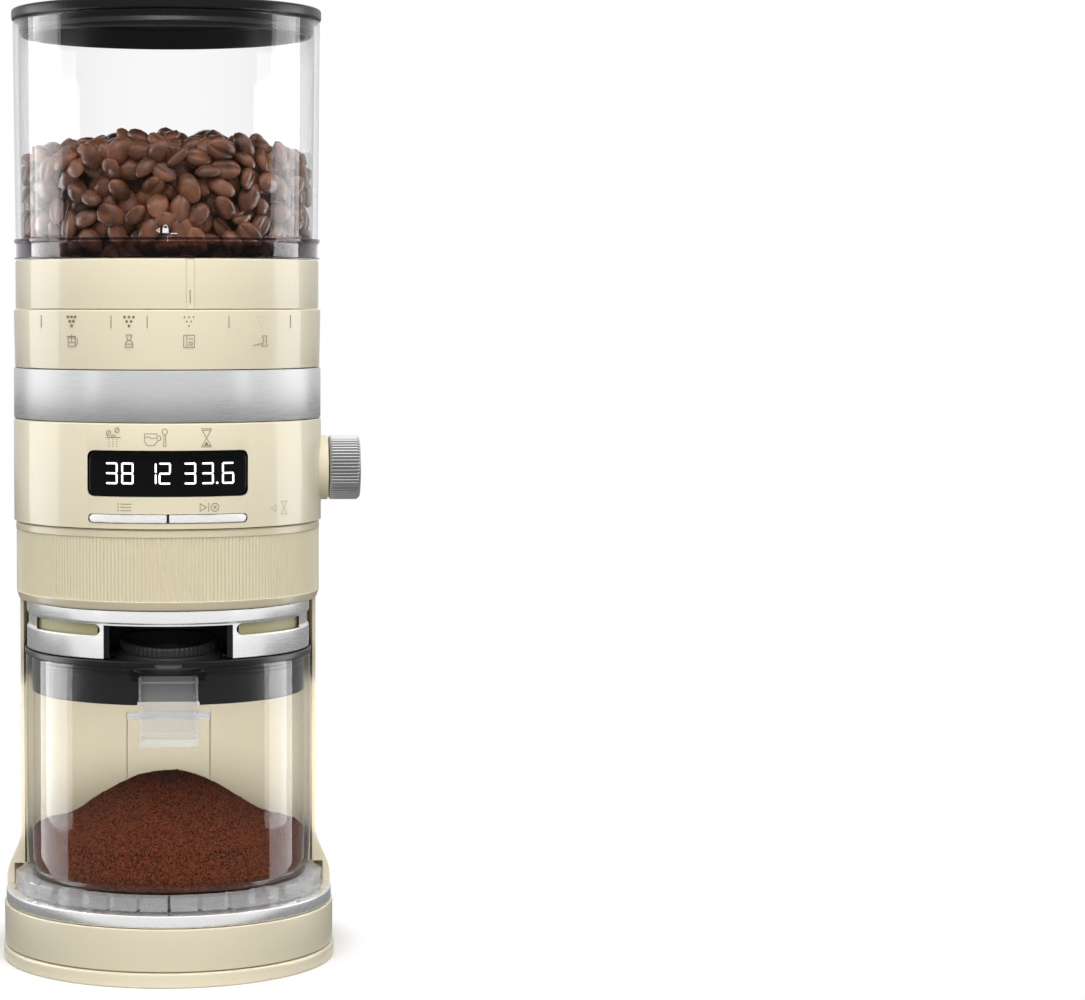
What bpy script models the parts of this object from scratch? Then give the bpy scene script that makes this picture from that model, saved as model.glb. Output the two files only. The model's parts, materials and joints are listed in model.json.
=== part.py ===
"""Burr coffee grinder, modelled as the separate pieces it comes apart into.

Units are metres in Blender; every size below is written in millimetres and multiplied by MM.
The vertical axis through the burrs is Z, the table is z = 0, the front is -Y, the knob is on +X.
"""
import math

import bmesh
import bpy
from mathutils import Matrix

MM = 0.001
GAP = 0.3                # clearance kept between pieces that touch
BIG, SMALL = 48, 24      # facets round a large and a small turned piece

# ---- driving dimensions -------------------------------------------------------------------
TOTAL_H = 409.0
BASE_R, BASE_EDGE_R = 71.5, 72.2
BASE_BACK, SPINE_BACK = 104.0, 98.0
BASE_HALF_W, SPINE_HALF_W, CORNER_R = 50.0, 48.0, 18.0
BASE_SEAM_Z, BASE_TOP_Z, RIM_TOP_Z = 6.7, 24.6, 30.2
BAY_R, WING_FRONT_Y = 63.2, 5.0
UNDERCUT_R, UNDERCUT_TOP_Z = 67.8, 39.5
NECK_R, NECK_Z, NECK_TOP_Z = 61.4, 135.6, 156.2
COLLAR_R, COLLAR_Z, COLLAR_TOP_Z = 65.6, 156.6, 190.5
COLLAR_END_Y, COLLAR_BACK_Y = 27.0, 36.5
SHELL_R, SHELL_Z, SHELL_TOP_Z = 66.4, 190.8, 234.5
BAND_R, BAND_TOP_Z = 66.25, 256.2
SCALE_R, SCALE_TOP_Z = 66.0, 281.2
GRIND_R, GRIND_TOP_Z = 65.3, 302.3
HOPPER_R, HOPPER_Z, HOPPER_TOP_Z = 65.9, 302.6, 404.0
LID_R, LID_Z = 66.5, 404.3
JAR_R, JAR_LIP_R, JAR_Z, JAR_TOP_Z = 61.8, 67.0, 30.5, 132.4
FUNNEL_Y = -35.0
KNOB_R, KNOB_Z, KNOB_X, KNOB_END_X = 13.9, 212.6, 69.8, 83.2
IDLER_Y, MOTOR_Y = 30.0, 60.0
MODULE, WHEEL_TEETH, PINION_TEETH = 1.0, 45, 15
PRESSURE_ANGLE = math.radians(20)
LOWER_GEARS_Z, UPPER_GEARS_Z, GEAR_H = 163.0, 172.0, 6.0
PLATE_LOW_Z, PLATE_HIGH_Z = 157.0, 181.0

# ---- colours: base colour, roughness, metallic ---------------------------------------------
CREAM = ("cream_paint", (0.80, 0.74, 0.58), 0.35, 0.0)
STEEL = ("brushed_steel", (0.62, 0.62, 0.62), 0.30, 1.0)
BLACK = ("black_plastic", (0.02, 0.02, 0.022), 0.45, 0.0)
GLOSS = ("display_black", (0.01, 0.01, 0.012), 0.08, 0.0)
SMOKE = ("charcoal_lid", (0.05, 0.05, 0.055), 0.35, 0.0)
CLEAR = ("clear_plastic", (0.85, 0.88, 0.88), 0.05, 0.0)
RUBBER = ("black_rubber", (0.02, 0.02, 0.02), 0.75, 0.0)
BOARD = ("circuit_board", (0.02, 0.16, 0.07), 0.50, 0.0)
GEAR = ("white_nylon", (0.75, 0.74, 0.70), 0.45, 0.0)
BURR = ("hardened_steel", (0.45, 0.45, 0.47), 0.28, 1.0)
ALLOY = ("cast_alloy", (0.55, 0.55, 0.56), 0.50, 1.0)
BRASS = ("brass", (0.70, 0.52, 0.22), 0.30, 1.0)

parts = None
cutters = None
materials = {}


def clear_scene():
    """Empties the file and makes the collections for the pieces and the cutters."""
    global parts, cutters
    for obj in list(bpy.data.objects):
        bpy.data.objects.remove(obj, do_unlink=True)
    parts = bpy.data.collections.new("burr_coffee_grinder")
    cutters = bpy.data.collections.new("cutters")
    for group in (parts, cutters):
        bpy.context.scene.collection.children.link(group)


def dress(obj, finish):
    """Gives an object its own Principled material."""
    name, colour, roughness, metallic = finish
    if name not in materials:
        mat = bpy.data.materials.new(name)
        mat.use_nodes = True
        shader = mat.node_tree.nodes["Principled BSDF"]
        shader.inputs["Base Color"].default_value = (*colour, 1)
        shader.inputs["Roughness"].default_value = roughness
        shader.inputs["Metallic"].default_value = metallic
        materials[name] = mat
    obj.data.materials.append(materials[name])


def place(obj, finish, at=(0, 0, 0)):
    """Links a piece or, with no finish, a cutter, and puts it in its place (mm)."""
    obj.location = [c * MM for c in at]
    if finish is None:
        cutters.objects.link(obj)
        obj.hide_render = True
        obj.display_type = 'WIRE'
    else:
        parts.objects.link(obj)
        dress(obj, finish)
    return obj


def turned(name, finish, profile, at=(0, 0, 0), steps=BIG, along_x=False):
    """Turns a profile of (radius, height) points, down the outer side and up the inner one."""
    mesh = bpy.data.meshes.new(name)
    count = len(profile)
    closed = min(r for r, z in profile) > 0
    edges = [(i, (i + 1) % count) for i in range(count if closed else count - 1)]
    mesh.from_pydata([(r * MM, 0, z * MM) for r, z in profile], edges, [])
    obj = bpy.data.objects.new(name, mesh)
    screw = obj.modifiers.new("turn", 'SCREW')
    screw.steps = screw.render_steps = steps
    screw.use_merge_vertices = True
    screw.merge_threshold = 0.00001
    screw.use_smooth_shade = True
    place(obj, finish, at)
    if along_x:
        obj.rotation_euler = (0, math.pi / 2, 0)
    return obj


def tube(name, finish, outer, inner, low, high, **options):
    """A plain turned tube, or a disc where the inner radius is 0."""
    if inner:
        profile = [(outer, high), (outer, low), (inner, low), (inner, high)]
    else:
        profile = [(0, high), (outer, high), (outer, low), (0, low)]
    return turned(name, finish, profile, **options)


def block(name, finish, low, high, bevel=0.0):
    """A box between two corners, with rounded edges where a bevel is given."""
    mesh = bpy.data.meshes.new(name)
    bm = bmesh.new()
    bmesh.ops.create_cube(bm, size=1)
    size = [(h - l) * MM for l, h in zip(low, high)]
    bmesh.ops.scale(bm, vec=size, verts=bm.verts)
    bm.to_mesh(mesh)
    bm.free()
    obj = bpy.data.objects.new(name, mesh)
    if bevel:
        rounding = obj.modifiers.new("rounding", 'BEVEL')
        rounding.width = bevel * MM
        rounding.segments = 2
    return place(obj, finish, [(l + h) / 2 for l, h in zip(low, high)])


def circle(radius, centre=(0, 0), count=SMALL):
    """Points round a circle."""
    turns = [2 * math.pi * i / count for i in range(count)]
    return [(centre[0] + radius * math.cos(t), centre[1] + radius * math.sin(t)) for t in turns]


def arc(radius, start, end, count, centre=(0, 0)):
    """Points along an arc, angles in degrees, both ends included."""
    turns = [math.radians(start + (end - start) * i / count) for i in range(count + 1)]
    return [(centre[0] + radius * math.cos(t), centre[1] + radius * math.sin(t)) for t in turns]


def rectangle(x0, x1, y0, y1):
    """The four corners of a rectangle."""
    return [(x0, y0), (x1, y0), (x1, y1), (x0, y1)]


def spine_outline(radius, half_width, back, corner=CORNER_R):
    """A round front joined by tangents to a back with two rounded corners."""
    cx, cy = half_width - corner, back - corner
    tangent = math.degrees(math.atan2(cy, cx) - math.acos((radius - corner) / math.hypot(cx, cy)))
    front = arc(radius, 180 - tangent, 360 + tangent, 36)
    right = arc(corner, tangent, 90, 5, (cx, cy))
    left = arc(corner, 90, 180 - tangent, 5, (-cx, cy))
    return front + right + left


def flat(name, finish, outlines, low, high, at=(0, 0)):
    """A flat piece between two heights, from an outline and the outlines of its holes."""
    curve = bpy.data.curves.new(name, 'CURVE')
    curve.dimensions = '2D'
    curve.fill_mode = 'BOTH'
    curve.extrude = (high - low) / 2 * MM
    for outline in outlines:
        spline = curve.splines.new('POLY')
        spline.points.add(len(outline) - 1)
        for point, (x, y) in zip(spline.points, outline):
            point.co = (x * MM, y * MM, 0, 1)
        spline.use_cyclic_u = True
    obj = bpy.data.objects.new(name, curve)
    return place(obj, finish, (at[0], at[1], (low + high) / 2))


def lofted(name, finish, sections):
    """A closed solid through unlike outlines, each given as (height, outline)."""
    mesh = bpy.data.meshes.new(name)
    bm = bmesh.new()
    rings = [[bm.verts.new((x * MM, y * MM, z * MM)) for x, y in outline] for z, outline in sections]
    for lower, upper in zip(rings, rings[1:]):
        for i in range(len(lower)):
            j = (i + 1) % len(lower)
            bm.faces.new((lower[i], lower[j], upper[j], upper[i]))
    bm.faces.new(rings[0][::-1])
    bm.faces.new(rings[-1])
    bm.to_mesh(mesh)
    bm.free()
    return place(bpy.data.objects.new(name, mesh), finish)


def combine(obj, operation, *tools):
    """Adds one Boolean for each tool, in order."""
    for tool in tools:
        boolean = obj.modifiers.new(tool.name, 'BOOLEAN')
        boolean.operation = operation
        boolean.object = tool
    return obj


def cut_box(name, low, high):
    """A box-shaped cutter."""
    return block(name, None, low, high)


def cut_tube(name, radius, low, high, at=(0, 0, 0), steps=BIG):
    """A cylindrical cutter."""
    return tube(name, None, radius, 0, low, high, at=at, steps=steps)


# ---- base ----------------------------------------------------------------------------------
def build_base():
    """Ballast plate with its feet, base shell, jar plate and the mains gland."""
    feet = [(-42, -42), (42, -42), (-36, 80), (36, 80)]
    holes = [circle(7.4, xy, 16) for xy in feet]
    flat("bottom_plate", BLACK, [spine_outline(BASE_EDGE_R, BASE_HALF_W, BASE_BACK)] + holes,
         0, BASE_SEAM_Z - GAP)
    for i, (x, y) in enumerate(feet, 1):
        tube(f"foot_{i}", RUBBER, 7.0, 0, 0, 5.5, at=(x, y, 0), steps=16)
    shell = lofted("base_shell", CREAM, [
        (BASE_SEAM_Z, spine_outline(BASE_R, BASE_HALF_W, BASE_BACK - 0.5)),
        (BASE_TOP_Z, spine_outline(BASE_R - 0.2, BASE_HALF_W - 0.3, BASE_BACK - 0.8))])
    combine(shell, 'DIFFERENCE', lofted("base_hollow", None, [
        (BASE_SEAM_Z - 2, spine_outline(BASE_R - 3, BASE_HALF_W - 3, BASE_BACK - 4)),
        (BASE_TOP_Z - 3, spine_outline(BASE_R - 3, BASE_HALF_W - 3, BASE_BACK - 4))]),
        cut_box("wire_way", (-20, 74, 15), (20, 92, 30)))
    wing = math.degrees(math.asin((WING_FRONT_Y - GAP) / BASE_R))
    rim = arc(BASE_R - 0.7, 180 - wing, 360 + wing, 30) + arc(BAY_R - GAP, wing, 180 - wing, 24)
    flat("jar_plate", STEEL, [rim], BASE_TOP_Z + GAP, RIM_TOP_Z)
    gland = tube("mains_gland", RUBBER, 7.0, 3.4, 0, 12, at=(0, 102.6, 50), steps=SMALL)
    gland.rotation_euler = (math.pi / 2, 0, 0)
    block("power_board", BOARD, (-32, 84, 60), (32, 85.6, 140))
    tube("capacitor", BLACK, 7.5, 0, 0, 26, at=(14, 75.5, 84), steps=16)
    block("relay", BLACK, (-24, 70, 88), (-6, 83.5, 112), 0.8)


# ---- housing ----------------------------------------------------------------------------------
def build_housing():
    """Cream housing: the rear column with its wings, and the shell round the display."""
    def section(z, radius, width=SPINE_HALF_W, back=SPINE_BACK):
        return z, spine_outline(radius, width, back)

    housing = lofted("housing", CREAM, [
        section(BASE_TOP_Z + GAP, 71.0, BASE_HALF_W - 0.5, BASE_BACK - 1),
        section(34.0, 71.0, BASE_HALF_W - 0.5, BASE_BACK - 1),
        section(41.0, 69.4, 49.0, 101.0),
        section(47.0, 66.0, 48.4, 99.0),
        section(54.0, 64.6), section(150.0, 64.6), section(156.3, 64.6),
        section(SHELL_Z - 6, 65.4), section(SHELL_Z, SHELL_R), section(SHELL_TOP_Z, SHELL_R)])
    boss = tube("knob_boss", None, 14.0, 0, 60, KNOB_X - 0.4, at=(0, 0, KNOB_Z), along_x=True,
                steps=SMALL)
    combine(housing, 'UNION', boss)
    hole = tube("knob_hole", None, 3.6, 0, 50, 75, at=(0, 0, KNOB_Z), along_x=True, steps=SMALL)
    gland_hole = tube("gland_hole", None, 7.3, 0, 0, 20, at=(0, 108, 50), steps=SMALL)
    gland_hole.rotation_euler = (math.pi / 2, 0, 0)
    head_inside = spine_outline(SHELL_R - 2.8, SPINE_HALF_W - 3, SPINE_BACK - 3, CORNER_R - 3)
    combine(housing, 'DIFFERENCE',
            gland_hole, cut_tube("jar_bay", BAY_R, 20, 156.8),
            cut_tube("foot_undercut", UNDERCUT_R, RIM_TOP_Z, UNDERCUT_TOP_Z),
            cut_box("front_clear", (-90, -90, 20), (90, WING_FRONT_Y, 170)),
            cut_box("collar_clear", (-90, -91, 155.8), (90, COLLAR_BACK_Y, SHELL_Z)),
            cut_box("spine_hollow", (-38, 66.5, 18), (38, 94, 158)),
            cut_box("motor_bay", (-38, 20, 157), (38, 94.2, 192)),
            lofted("head_hollow", None, [(189.5, head_inside), (240, head_inside)]),
            cut_box("window_hole", (-33.1, -80, 204.2), (33.1, -50, 223.1)),
            cut_box("button_hole", (-33.1, -80, 192.9), (33.1, -50, 197.0)),
            hole)
    inner = spine_outline(BAND_R - 2, SPINE_HALF_W - 2, SPINE_BACK - 2, CORNER_R - 2)
    flat("steel_band", STEEL, [spine_outline(BAND_R, SPINE_HALF_W, SPINE_BACK), inner],
         SHELL_TOP_Z + GAP, BAND_TOP_Z)
    cover = spine_outline(BAND_R - 2.4, SPINE_HALF_W - 2.4, SPINE_BACK - 2.4, CORNER_R - 2.4)
    flat("head_cover", BLACK, [cover, circle(46, count=BIG)], BAND_TOP_Z - 3.5, BAND_TOP_Z - 0.3)


def build_neck():
    """Brushed neck over the jar, with its front window and side slots, and the jog collar."""
    neck = turned("neck", STEEL, [(NECK_R, NECK_TOP_Z), (NECK_R, NECK_Z), (NECK_R - 1.6, NECK_Z),
                                  (NECK_R - 1.6, NECK_TOP_Z)])
    combine(neck, 'DIFFERENCE',
            cut_box("neck_window", (-27, -80, 130), (27, -30, 150)),
            cut_box("slot_left", (-56, -80, 146), (-31, -10, 150.2)),
            cut_box("slot_right", (31, -80, 146), (56, -10, 150.2)))
    collar = turned("jog_collar", CREAM, [
        (COLLAR_R - 1, COLLAR_TOP_Z), (COLLAR_R, COLLAR_TOP_Z - 2), (COLLAR_R, 160.2),
        (COLLAR_R - 1.6, COLLAR_Z), (62.3, COLLAR_Z), (62.3, COLLAR_TOP_Z)])
    combine(collar, 'DIFFERENCE', cut_box("collar_gap", (-80, COLLAR_END_Y, 150), (80, 90, 200)))
    track = tube("collar_track", CREAM, 61.9, 60.3, NECK_TOP_Z + GAP, COLLAR_TOP_Z)
    combine(track, 'DIFFERENCE', cut_box("track_gap", (-80, COLLAR_BACK_Y - GAP, 150), (80, 90, 200)))


def arc_bar(name, finish, outer, inner, low, high, x0, x1):
    """A piece of a tube between two sides, on the front."""
    bar = tube(name, finish, outer, inner, low, high, steps=96)
    return combine(bar, 'INTERSECT', cut_box(name + "_sides", (x0, -80, low - 5), (x1, -40, high + 5)))


def build_controls():
    """Display window and its board, the two bar buttons and the knob with its encoder."""
    arc_bar("display_window", GLOSS, SHELL_R - 0.1, SHELL_R - 2.6, 204.5, 222.8, -32.8, 32.8)
    block("display_board", BOARD, (-30, -52.6, 202), (30, -51.0, 226))
    arc_bar("program_button", STEEL, SHELL_R + 0.5, SHELL_R - 3, 193.2, 196.7, -32.7, -0.4)
    arc_bar("start_button", STEEL, SHELL_R + 0.5, SHELL_R - 3, 193.2, 196.7, 0.4, 32.7)
    block("button_board", BOARD, (-30, -50.9, 192.5), (30, -49.4, 200))
    turned("amount_knob", STEEL, [
        (0, KNOB_END_X - 0.8), (KNOB_R - 2.6, KNOB_END_X - 0.8), (KNOB_R - 1.6, KNOB_END_X),
        (KNOB_R - 0.5, KNOB_END_X - 0.3), (KNOB_R, KNOB_END_X - 1.2), (KNOB_R, KNOB_X),
        (3.0, KNOB_X), (3.0, 54.0), (0, 54.0)], at=(0, 0, KNOB_Z), along_x=True, steps=36)
    block("knob_encoder", BLACK, (44, -8, KNOB_Z - 8), (53.6, 8, KNOB_Z + 8))


# ---- grinding works ------------------------------------------------------------------------------
def gear_outline(teeth, phase, backlash=0.16, addendum=0.85, dedendum=1.2):
    """Outline of a spur gear with involute flanks; a tooth is centred on the phase angle."""
    pitch = teeth * MODULE / 2
    base = pitch * math.cos(PRESSURE_ANGLE)
    tip, root = pitch + addendum * MODULE, pitch - dedendum * MODULE

    def half_angle(radius):
        roll = math.acos(min(1.0, base / radius))
        at_pitch = math.tan(PRESSURE_ANGLE) - PRESSURE_ANGLE
        return (math.pi / 2 - backlash) / teeth + at_pitch - (math.tan(roll) - roll)

    radii = [root, pitch, tip]
    points = []
    for k in range(teeth):
        centre = math.radians(phase) + 2 * math.pi * k / teeth
        flank = [(r, half_angle(max(r, base))) for r in radii]
        points += [(r, centre - h) for r, h in flank] + [(r, centre + h) for r, h in flank[::-1]]
    return [(r * math.cos(a), r * math.sin(a)) for r, a in points]


def gear(name, finish, teeth, phase, y, low, bore):
    """A spur gear with a bore."""
    return flat(name, finish, [gear_outline(teeth, phase), circle(bore, count=16)],
                low, low + GEAR_H, at=(0, y))


def build_drive():
    """Motor, the two gear stages, their plates, the burr shaft and its bearings."""
    chute_way = rectangle(-14.2, 14.2, -44.2, -26.4)
    flat("gear_plate_lower", ALLOY, [circle(52, count=BIG), circle(8.4), circle(3.4, (0, IDLER_Y), 16),
                                     chute_way], PLATE_LOW_Z, PLATE_LOW_Z + 5)
    flat("gear_plate_upper", ALLOY, [arc(52, 136, 404, 40) + [(36, 91), (-36, 91)], circle(10.4),
                                     circle(3.4, (0, IDLER_Y), 16), circle(6, (0, MOTOR_Y), 16),
                                     chute_way], PLATE_HIGH_Z, PLATE_HIGH_Z + 4)
    tooth_up, gap_down = 90, -90 + 180 / PINION_TEETH
    gear("burr_gear", GEAR, WHEEL_TEETH, tooth_up, 0, UPPER_GEARS_Z, 4.3)
    gear("idler_pinion", BURR, PINION_TEETH, gap_down, IDLER_Y, UPPER_GEARS_Z, 3.3)
    gear("idler_gear", GEAR, WHEEL_TEETH, tooth_up, IDLER_Y, LOWER_GEARS_Z, 3.3)
    gear("motor_pinion", BURR, PINION_TEETH, gap_down, MOTOR_Y, LOWER_GEARS_Z, 2.8)
    tube("idler_axle", BURR, 3.0, 0, PLATE_LOW_Z, PLATE_HIGH_Z + 4, at=(0, IDLER_Y, 0), steps=16)
    tube("burr_shaft", BURR, 4.0, 0, 157.5, 246, steps=16)
    tube("lower_bearing", BURR, 8.0, 4.4, PLATE_LOW_Z, PLATE_LOW_Z + 4.8, steps=SMALL)
    tube("upper_bearing", BURR, 10.0, 4.4, PLATE_HIGH_Z, PLATE_HIGH_Z + 3.8, steps=SMALL)
    motor = (0, MOTOR_Y, 0)
    turned("motor_can", ALLOY, [(24, 244), (24, 186), (3.4, 186), (3.4, 189), (21.5, 189),
                                (21.5, 244)], at=motor, steps=SMALL)
    turned("motor_rotor", BRASS, [(0, 247), (2.5, 247), (2.5, 234), (17, 232), (17, 196),
                                  (2.5, 194), (2.5, 162.5), (0, 162.5)], at=motor, steps=SMALL)
    tube("motor_end_cap", BLACK, 21.2, 3.2, 238, 243.7, at=motor, steps=SMALL)


def build_burrs():
    """Cone burr and ring burr, the carrier that lifts the ring burr, chamber and outlet chute."""
    turned("cone_burr", BURR, [(8, 240), (11, 238), (19, 222), (22.6, 213), (22.6, 210), (4.4, 210),
                               (4.4, 240)], steps=32)
    turned("ring_burr", BURR, [(29, 236), (29, 214), (24.4, 214), (24.4, 218), (27, 236)], steps=32)
    tube("burr_carrier", BLACK, 32.3, 29.3, 214, 262, steps=32)
    chamber = turned("grinding_chamber", ALLOY, [(35.4, 234), (35.4, 196), (6, 196), (6, 199),
                                                 (33.0, 199), (33.0, 234)], steps=32)
    combine(chamber, 'DIFFERENCE', cut_box("outlet_hole", (-11, -32, 190), (11, -27.5, 205)))
    tube("sweeper", GEAR, 20, 4.4, 203, 206, steps=SMALL)
    flat("burr_nut", BURR, [circle(6.5, count=6), circle(4.4, count=16)], 240.4, 244)
    chute = block("outlet_chute", BLACK, (-13.6, -43.6, 147.2), (13.6, -27, 195.6))
    combine(chute, 'DIFFERENCE', cut_box("chute_bore", (-12, -42, 140), (12, -28.6, 200)))


# ---- rings, hopper and jar -------------------------------------------------------------------------
def build_rings():
    """Fixed scale ring, the grind ring with its hub, and the hopper's interlock ring."""
    turned("scale_ring", CREAM, [(SCALE_R + 0.2, SCALE_TOP_Z), (SCALE_R - 0.3, BAND_TOP_Z + GAP),
                                 (62, BAND_TOP_Z + GAP), (62, SCALE_TOP_Z)])
    ring = tube("grind_ring", CREAM, GRIND_R, 61.4, SCALE_TOP_Z + GAP, GRIND_TOP_Z, steps=96)
    groove = block("pointer_groove", None, (-1.8, -67, SCALE_TOP_Z - 2), (1.8, -64.2, GRIND_TOP_Z + 2))
    turn = Matrix.Rotation(math.radians(8.4), 4, 'Z')
    groove.matrix_world = turn @ Matrix.Translation([c for c in groove.location])
    combine(ring, 'DIFFERENCE', groove)
    turned("adjuster_hub", BLACK, [(61, 280.6), (61, 277), (35.3, 277), (35.3, 246), (33.0, 246),
                                   (33.0, 280.6)])
    tube("interlock_ring", BLACK, 60.6, 42, 282, 287)


def build_hopper():
    """Clear bean hopper with its throat and gate, the lid and the lid's seal."""
    turned("hopper", CLEAR, [
        (HOPPER_R, HOPPER_TOP_Z), (HOPPER_R - 0.8, HOPPER_Z), (60, HOPPER_Z), (30, 288.5),
        (30, 268), (27.6, 268), (27.6, 289.6), (58, 305), (62.4, 310), (63.6, HOPPER_TOP_Z)])
    block("hopper_gate", BLACK, (-19, -19, 274), (19, 19, 275.6))
    turned("hopper_lid", SMOKE, [
        (0, TOTAL_H), (LID_R - 0.9, TOTAL_H), (LID_R, TOTAL_H - 1.2), (LID_R, LID_Z),
        (62.4, LID_Z), (62.4, 397.6), (59.6, 397.6), (59.6, TOTAL_H - 3), (0, TOTAL_H - 3)])
    turned("lid_seal", RUBBER, [(63.2, 401.4), (63.2, 399.4), (62.6, 399.4), (62.6, 401.4)])


def build_jar():
    """Ground-coffee jar, its plugged lid, the silicone funnel and the clear drop chute."""
    turned("jar", CLEAR, [
        (0, 36.0), (58.6, 36.0), (59.6, 40), (59.6, JAR_TOP_Z), (JAR_R, JAR_TOP_Z), (JAR_R, 39.2),
        (JAR_LIP_R, 38.0), (JAR_LIP_R, JAR_Z), (58, JAR_Z), (58, 32.5), (0, 32.5)])
    lid = turned("jar_lid", BLACK, [
        (0, 135.2), (JAR_R + 0.4, 135.2), (JAR_R + 0.4, JAR_TOP_Z + GAP), (59.2, JAR_TOP_Z + GAP),
        (59.2, 116.5), (56.6, 116.5), (56.6, 130), (0, 130)])
    combine(lid, 'DIFFERENCE', cut_box("chute_pocket", (-14.5, -70, 110), (14.5, -40, 129.6)),
            cut_tube("funnel_hole", 15.4, 120, 140, at=(0, FUNNEL_Y, 0), steps=SMALL))
    turned("funnel_seal", RUBBER, [
        (20.5, 142.6), (20.5, 138.4), (23.2, 137.2), (23.2, 135.5), (15.0, 135.5), (15.0, 128),
        (13.4, 128), (13.4, 136.4), (18.6, 142.6)], at=(0, FUNNEL_Y, 0), steps=SMALL)
    chute = block("drop_chute", CLEAR, (-12.5, -50, 99), (12.5, -20, 127.7))
    combine(chute, 'DIFFERENCE', cut_box("drop_bore", (-11.3, -48.8, 90), (11.3, -21.2, 140)))


def build_screws():
    """Screws that hold the gear plates and the ballast plate, one piece each."""
    for i, (x, y) in enumerate([(-46, 8), (46, 8), (-30, -36), (30, -36)], 1):
        tube(f"gearbox_screw_{i}", BURR, 3.2, 0, 185.3, 188.0, at=(x, y, 0), steps=12)


def main():
    """Builds every piece."""
    clear_scene()
    build_base()
    build_housing()
    build_neck()
    build_controls()
    build_drive()
    build_burrs()
    build_rings()
    build_hopper()
    build_jar()
    build_screws()


main()
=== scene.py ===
"""Burr coffee grinder: the finished surfaces, finishes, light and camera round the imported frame.

Sizes are written in millimetres and turned into metres by MM where a mesh is made. The burrs,
hopper and jar share the vertical axis Z, the table is z = 0, the front is -Y and the knob is on +X.
"""
import json
import logging
import math
from dataclasses import dataclass, field
from enum import Enum
from typing import Callable, ClassVar, Optional, Sequence

import bmesh
import bpy
import numpy as np
from mathutils import Matrix

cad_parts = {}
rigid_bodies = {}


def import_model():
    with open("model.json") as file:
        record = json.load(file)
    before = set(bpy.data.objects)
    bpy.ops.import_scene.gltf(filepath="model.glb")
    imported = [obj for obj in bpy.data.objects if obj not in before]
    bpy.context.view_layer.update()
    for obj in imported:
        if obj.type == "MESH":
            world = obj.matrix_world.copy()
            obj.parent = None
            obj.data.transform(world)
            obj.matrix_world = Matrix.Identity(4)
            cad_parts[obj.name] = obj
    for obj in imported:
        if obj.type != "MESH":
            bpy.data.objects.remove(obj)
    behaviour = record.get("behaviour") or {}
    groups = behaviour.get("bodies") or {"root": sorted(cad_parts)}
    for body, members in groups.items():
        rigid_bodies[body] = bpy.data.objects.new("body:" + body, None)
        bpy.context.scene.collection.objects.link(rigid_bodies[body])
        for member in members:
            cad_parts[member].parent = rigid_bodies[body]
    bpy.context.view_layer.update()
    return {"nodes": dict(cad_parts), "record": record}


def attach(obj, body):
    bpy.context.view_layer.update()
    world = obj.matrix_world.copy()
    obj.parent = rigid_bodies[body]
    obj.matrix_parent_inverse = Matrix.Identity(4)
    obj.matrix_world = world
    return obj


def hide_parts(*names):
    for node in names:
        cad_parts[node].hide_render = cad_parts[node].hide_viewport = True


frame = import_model()

LOG = logging.getLogger("grinder")
MM = 0.001
WELD = 1e-6       # points nearer than this, in metres, become one
SHARP = 32.0      # edges bent more than this, in degrees, stay sharp
TAU = 2 * math.pi
SHELL_R, BAND_R = 66.4, 66.25
SPINE_HALF, SPINE_BACK = 48.0, 98.0
SHELL_LOW, SHELL_HIGH, BAND_HIGH = 190.8, 234.5, 256.2
KNOB_R, KNOB_Z = 13.9, 212.6
WINDOW_Z, BUTTON_Z = 213.65, 194.95
Point = tuple[float, float]
Triple = tuple[float, float, float]
Array = np.ndarray
Piece = bpy.types.Object
Tree = bpy.types.NodeTree
Node = bpy.types.Node
Socket = bpy.types.NodeSocket
Dress = bpy.types.Material
Sign = tuple[tuple[tuple[Point, ...], bool], ...]
Relief = Callable[[Array, Array, Array], Array]


class Body(Enum):
    """The moving groups of the grinder."""
    FRAME = "frame"
    HOPPER = "hopper"
    LID = "lid"
    GRIND = "grind"
    COLLAR = "collar"
    KNOB = "knob"
    PROGRAM = "program"
    START = "start"
    JAR = "jar"


class Axis(Enum):
    """The axis that a turned piece is turned about."""
    UP = "z"
    SIDE = "x"


# ---- finishes ----
def add_node(tree: Tree, kind: str, **values: object) -> Node:
    """Adds a node and sets its sockets.

    Args:
        tree: The node tree.
        kind: The node's type.
        values: Socket values, or sockets to link, by name with _ for a space.

    Returns:
        The node.
    """
    node = tree.nodes.new(kind)
    for key, value in values.items():
        socket = node.inputs[key.replace("_", " ")]
        if isinstance(value, Socket):
            tree.links.new(value, socket)
        else:
            socket.default_value = value
    return node


def between(tree: Tree, share: Socket, low: object,
            high: object) -> Socket:
    """Mixes two numbers, or sockets, by a share from 0 to 1."""
    return add_node(tree, "ShaderNodeMix", Factor=share, A=low, B=high).outputs["Result"]


def ramped(tree: Tree, value: Socket, start: float,
           end: float) -> Socket:
    """A smooth step from 0 at the start to 1 at the end.

    Args:
        tree: The node tree.
        value: The value to step on.
        start: Where the step starts.
        end: Where it ends.

    Returns:
        The step's socket.
    """
    node = add_node(tree, "ShaderNodeMapRange", Value=value)
    node.interpolation_type = 'SMOOTHSTEP'
    for key, number in zip(("From Min", "From Max", "To Min", "To Max"), (start, end, 0, 1)):
        node.inputs[key].default_value = number
    return node.outputs["Result"]


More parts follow.
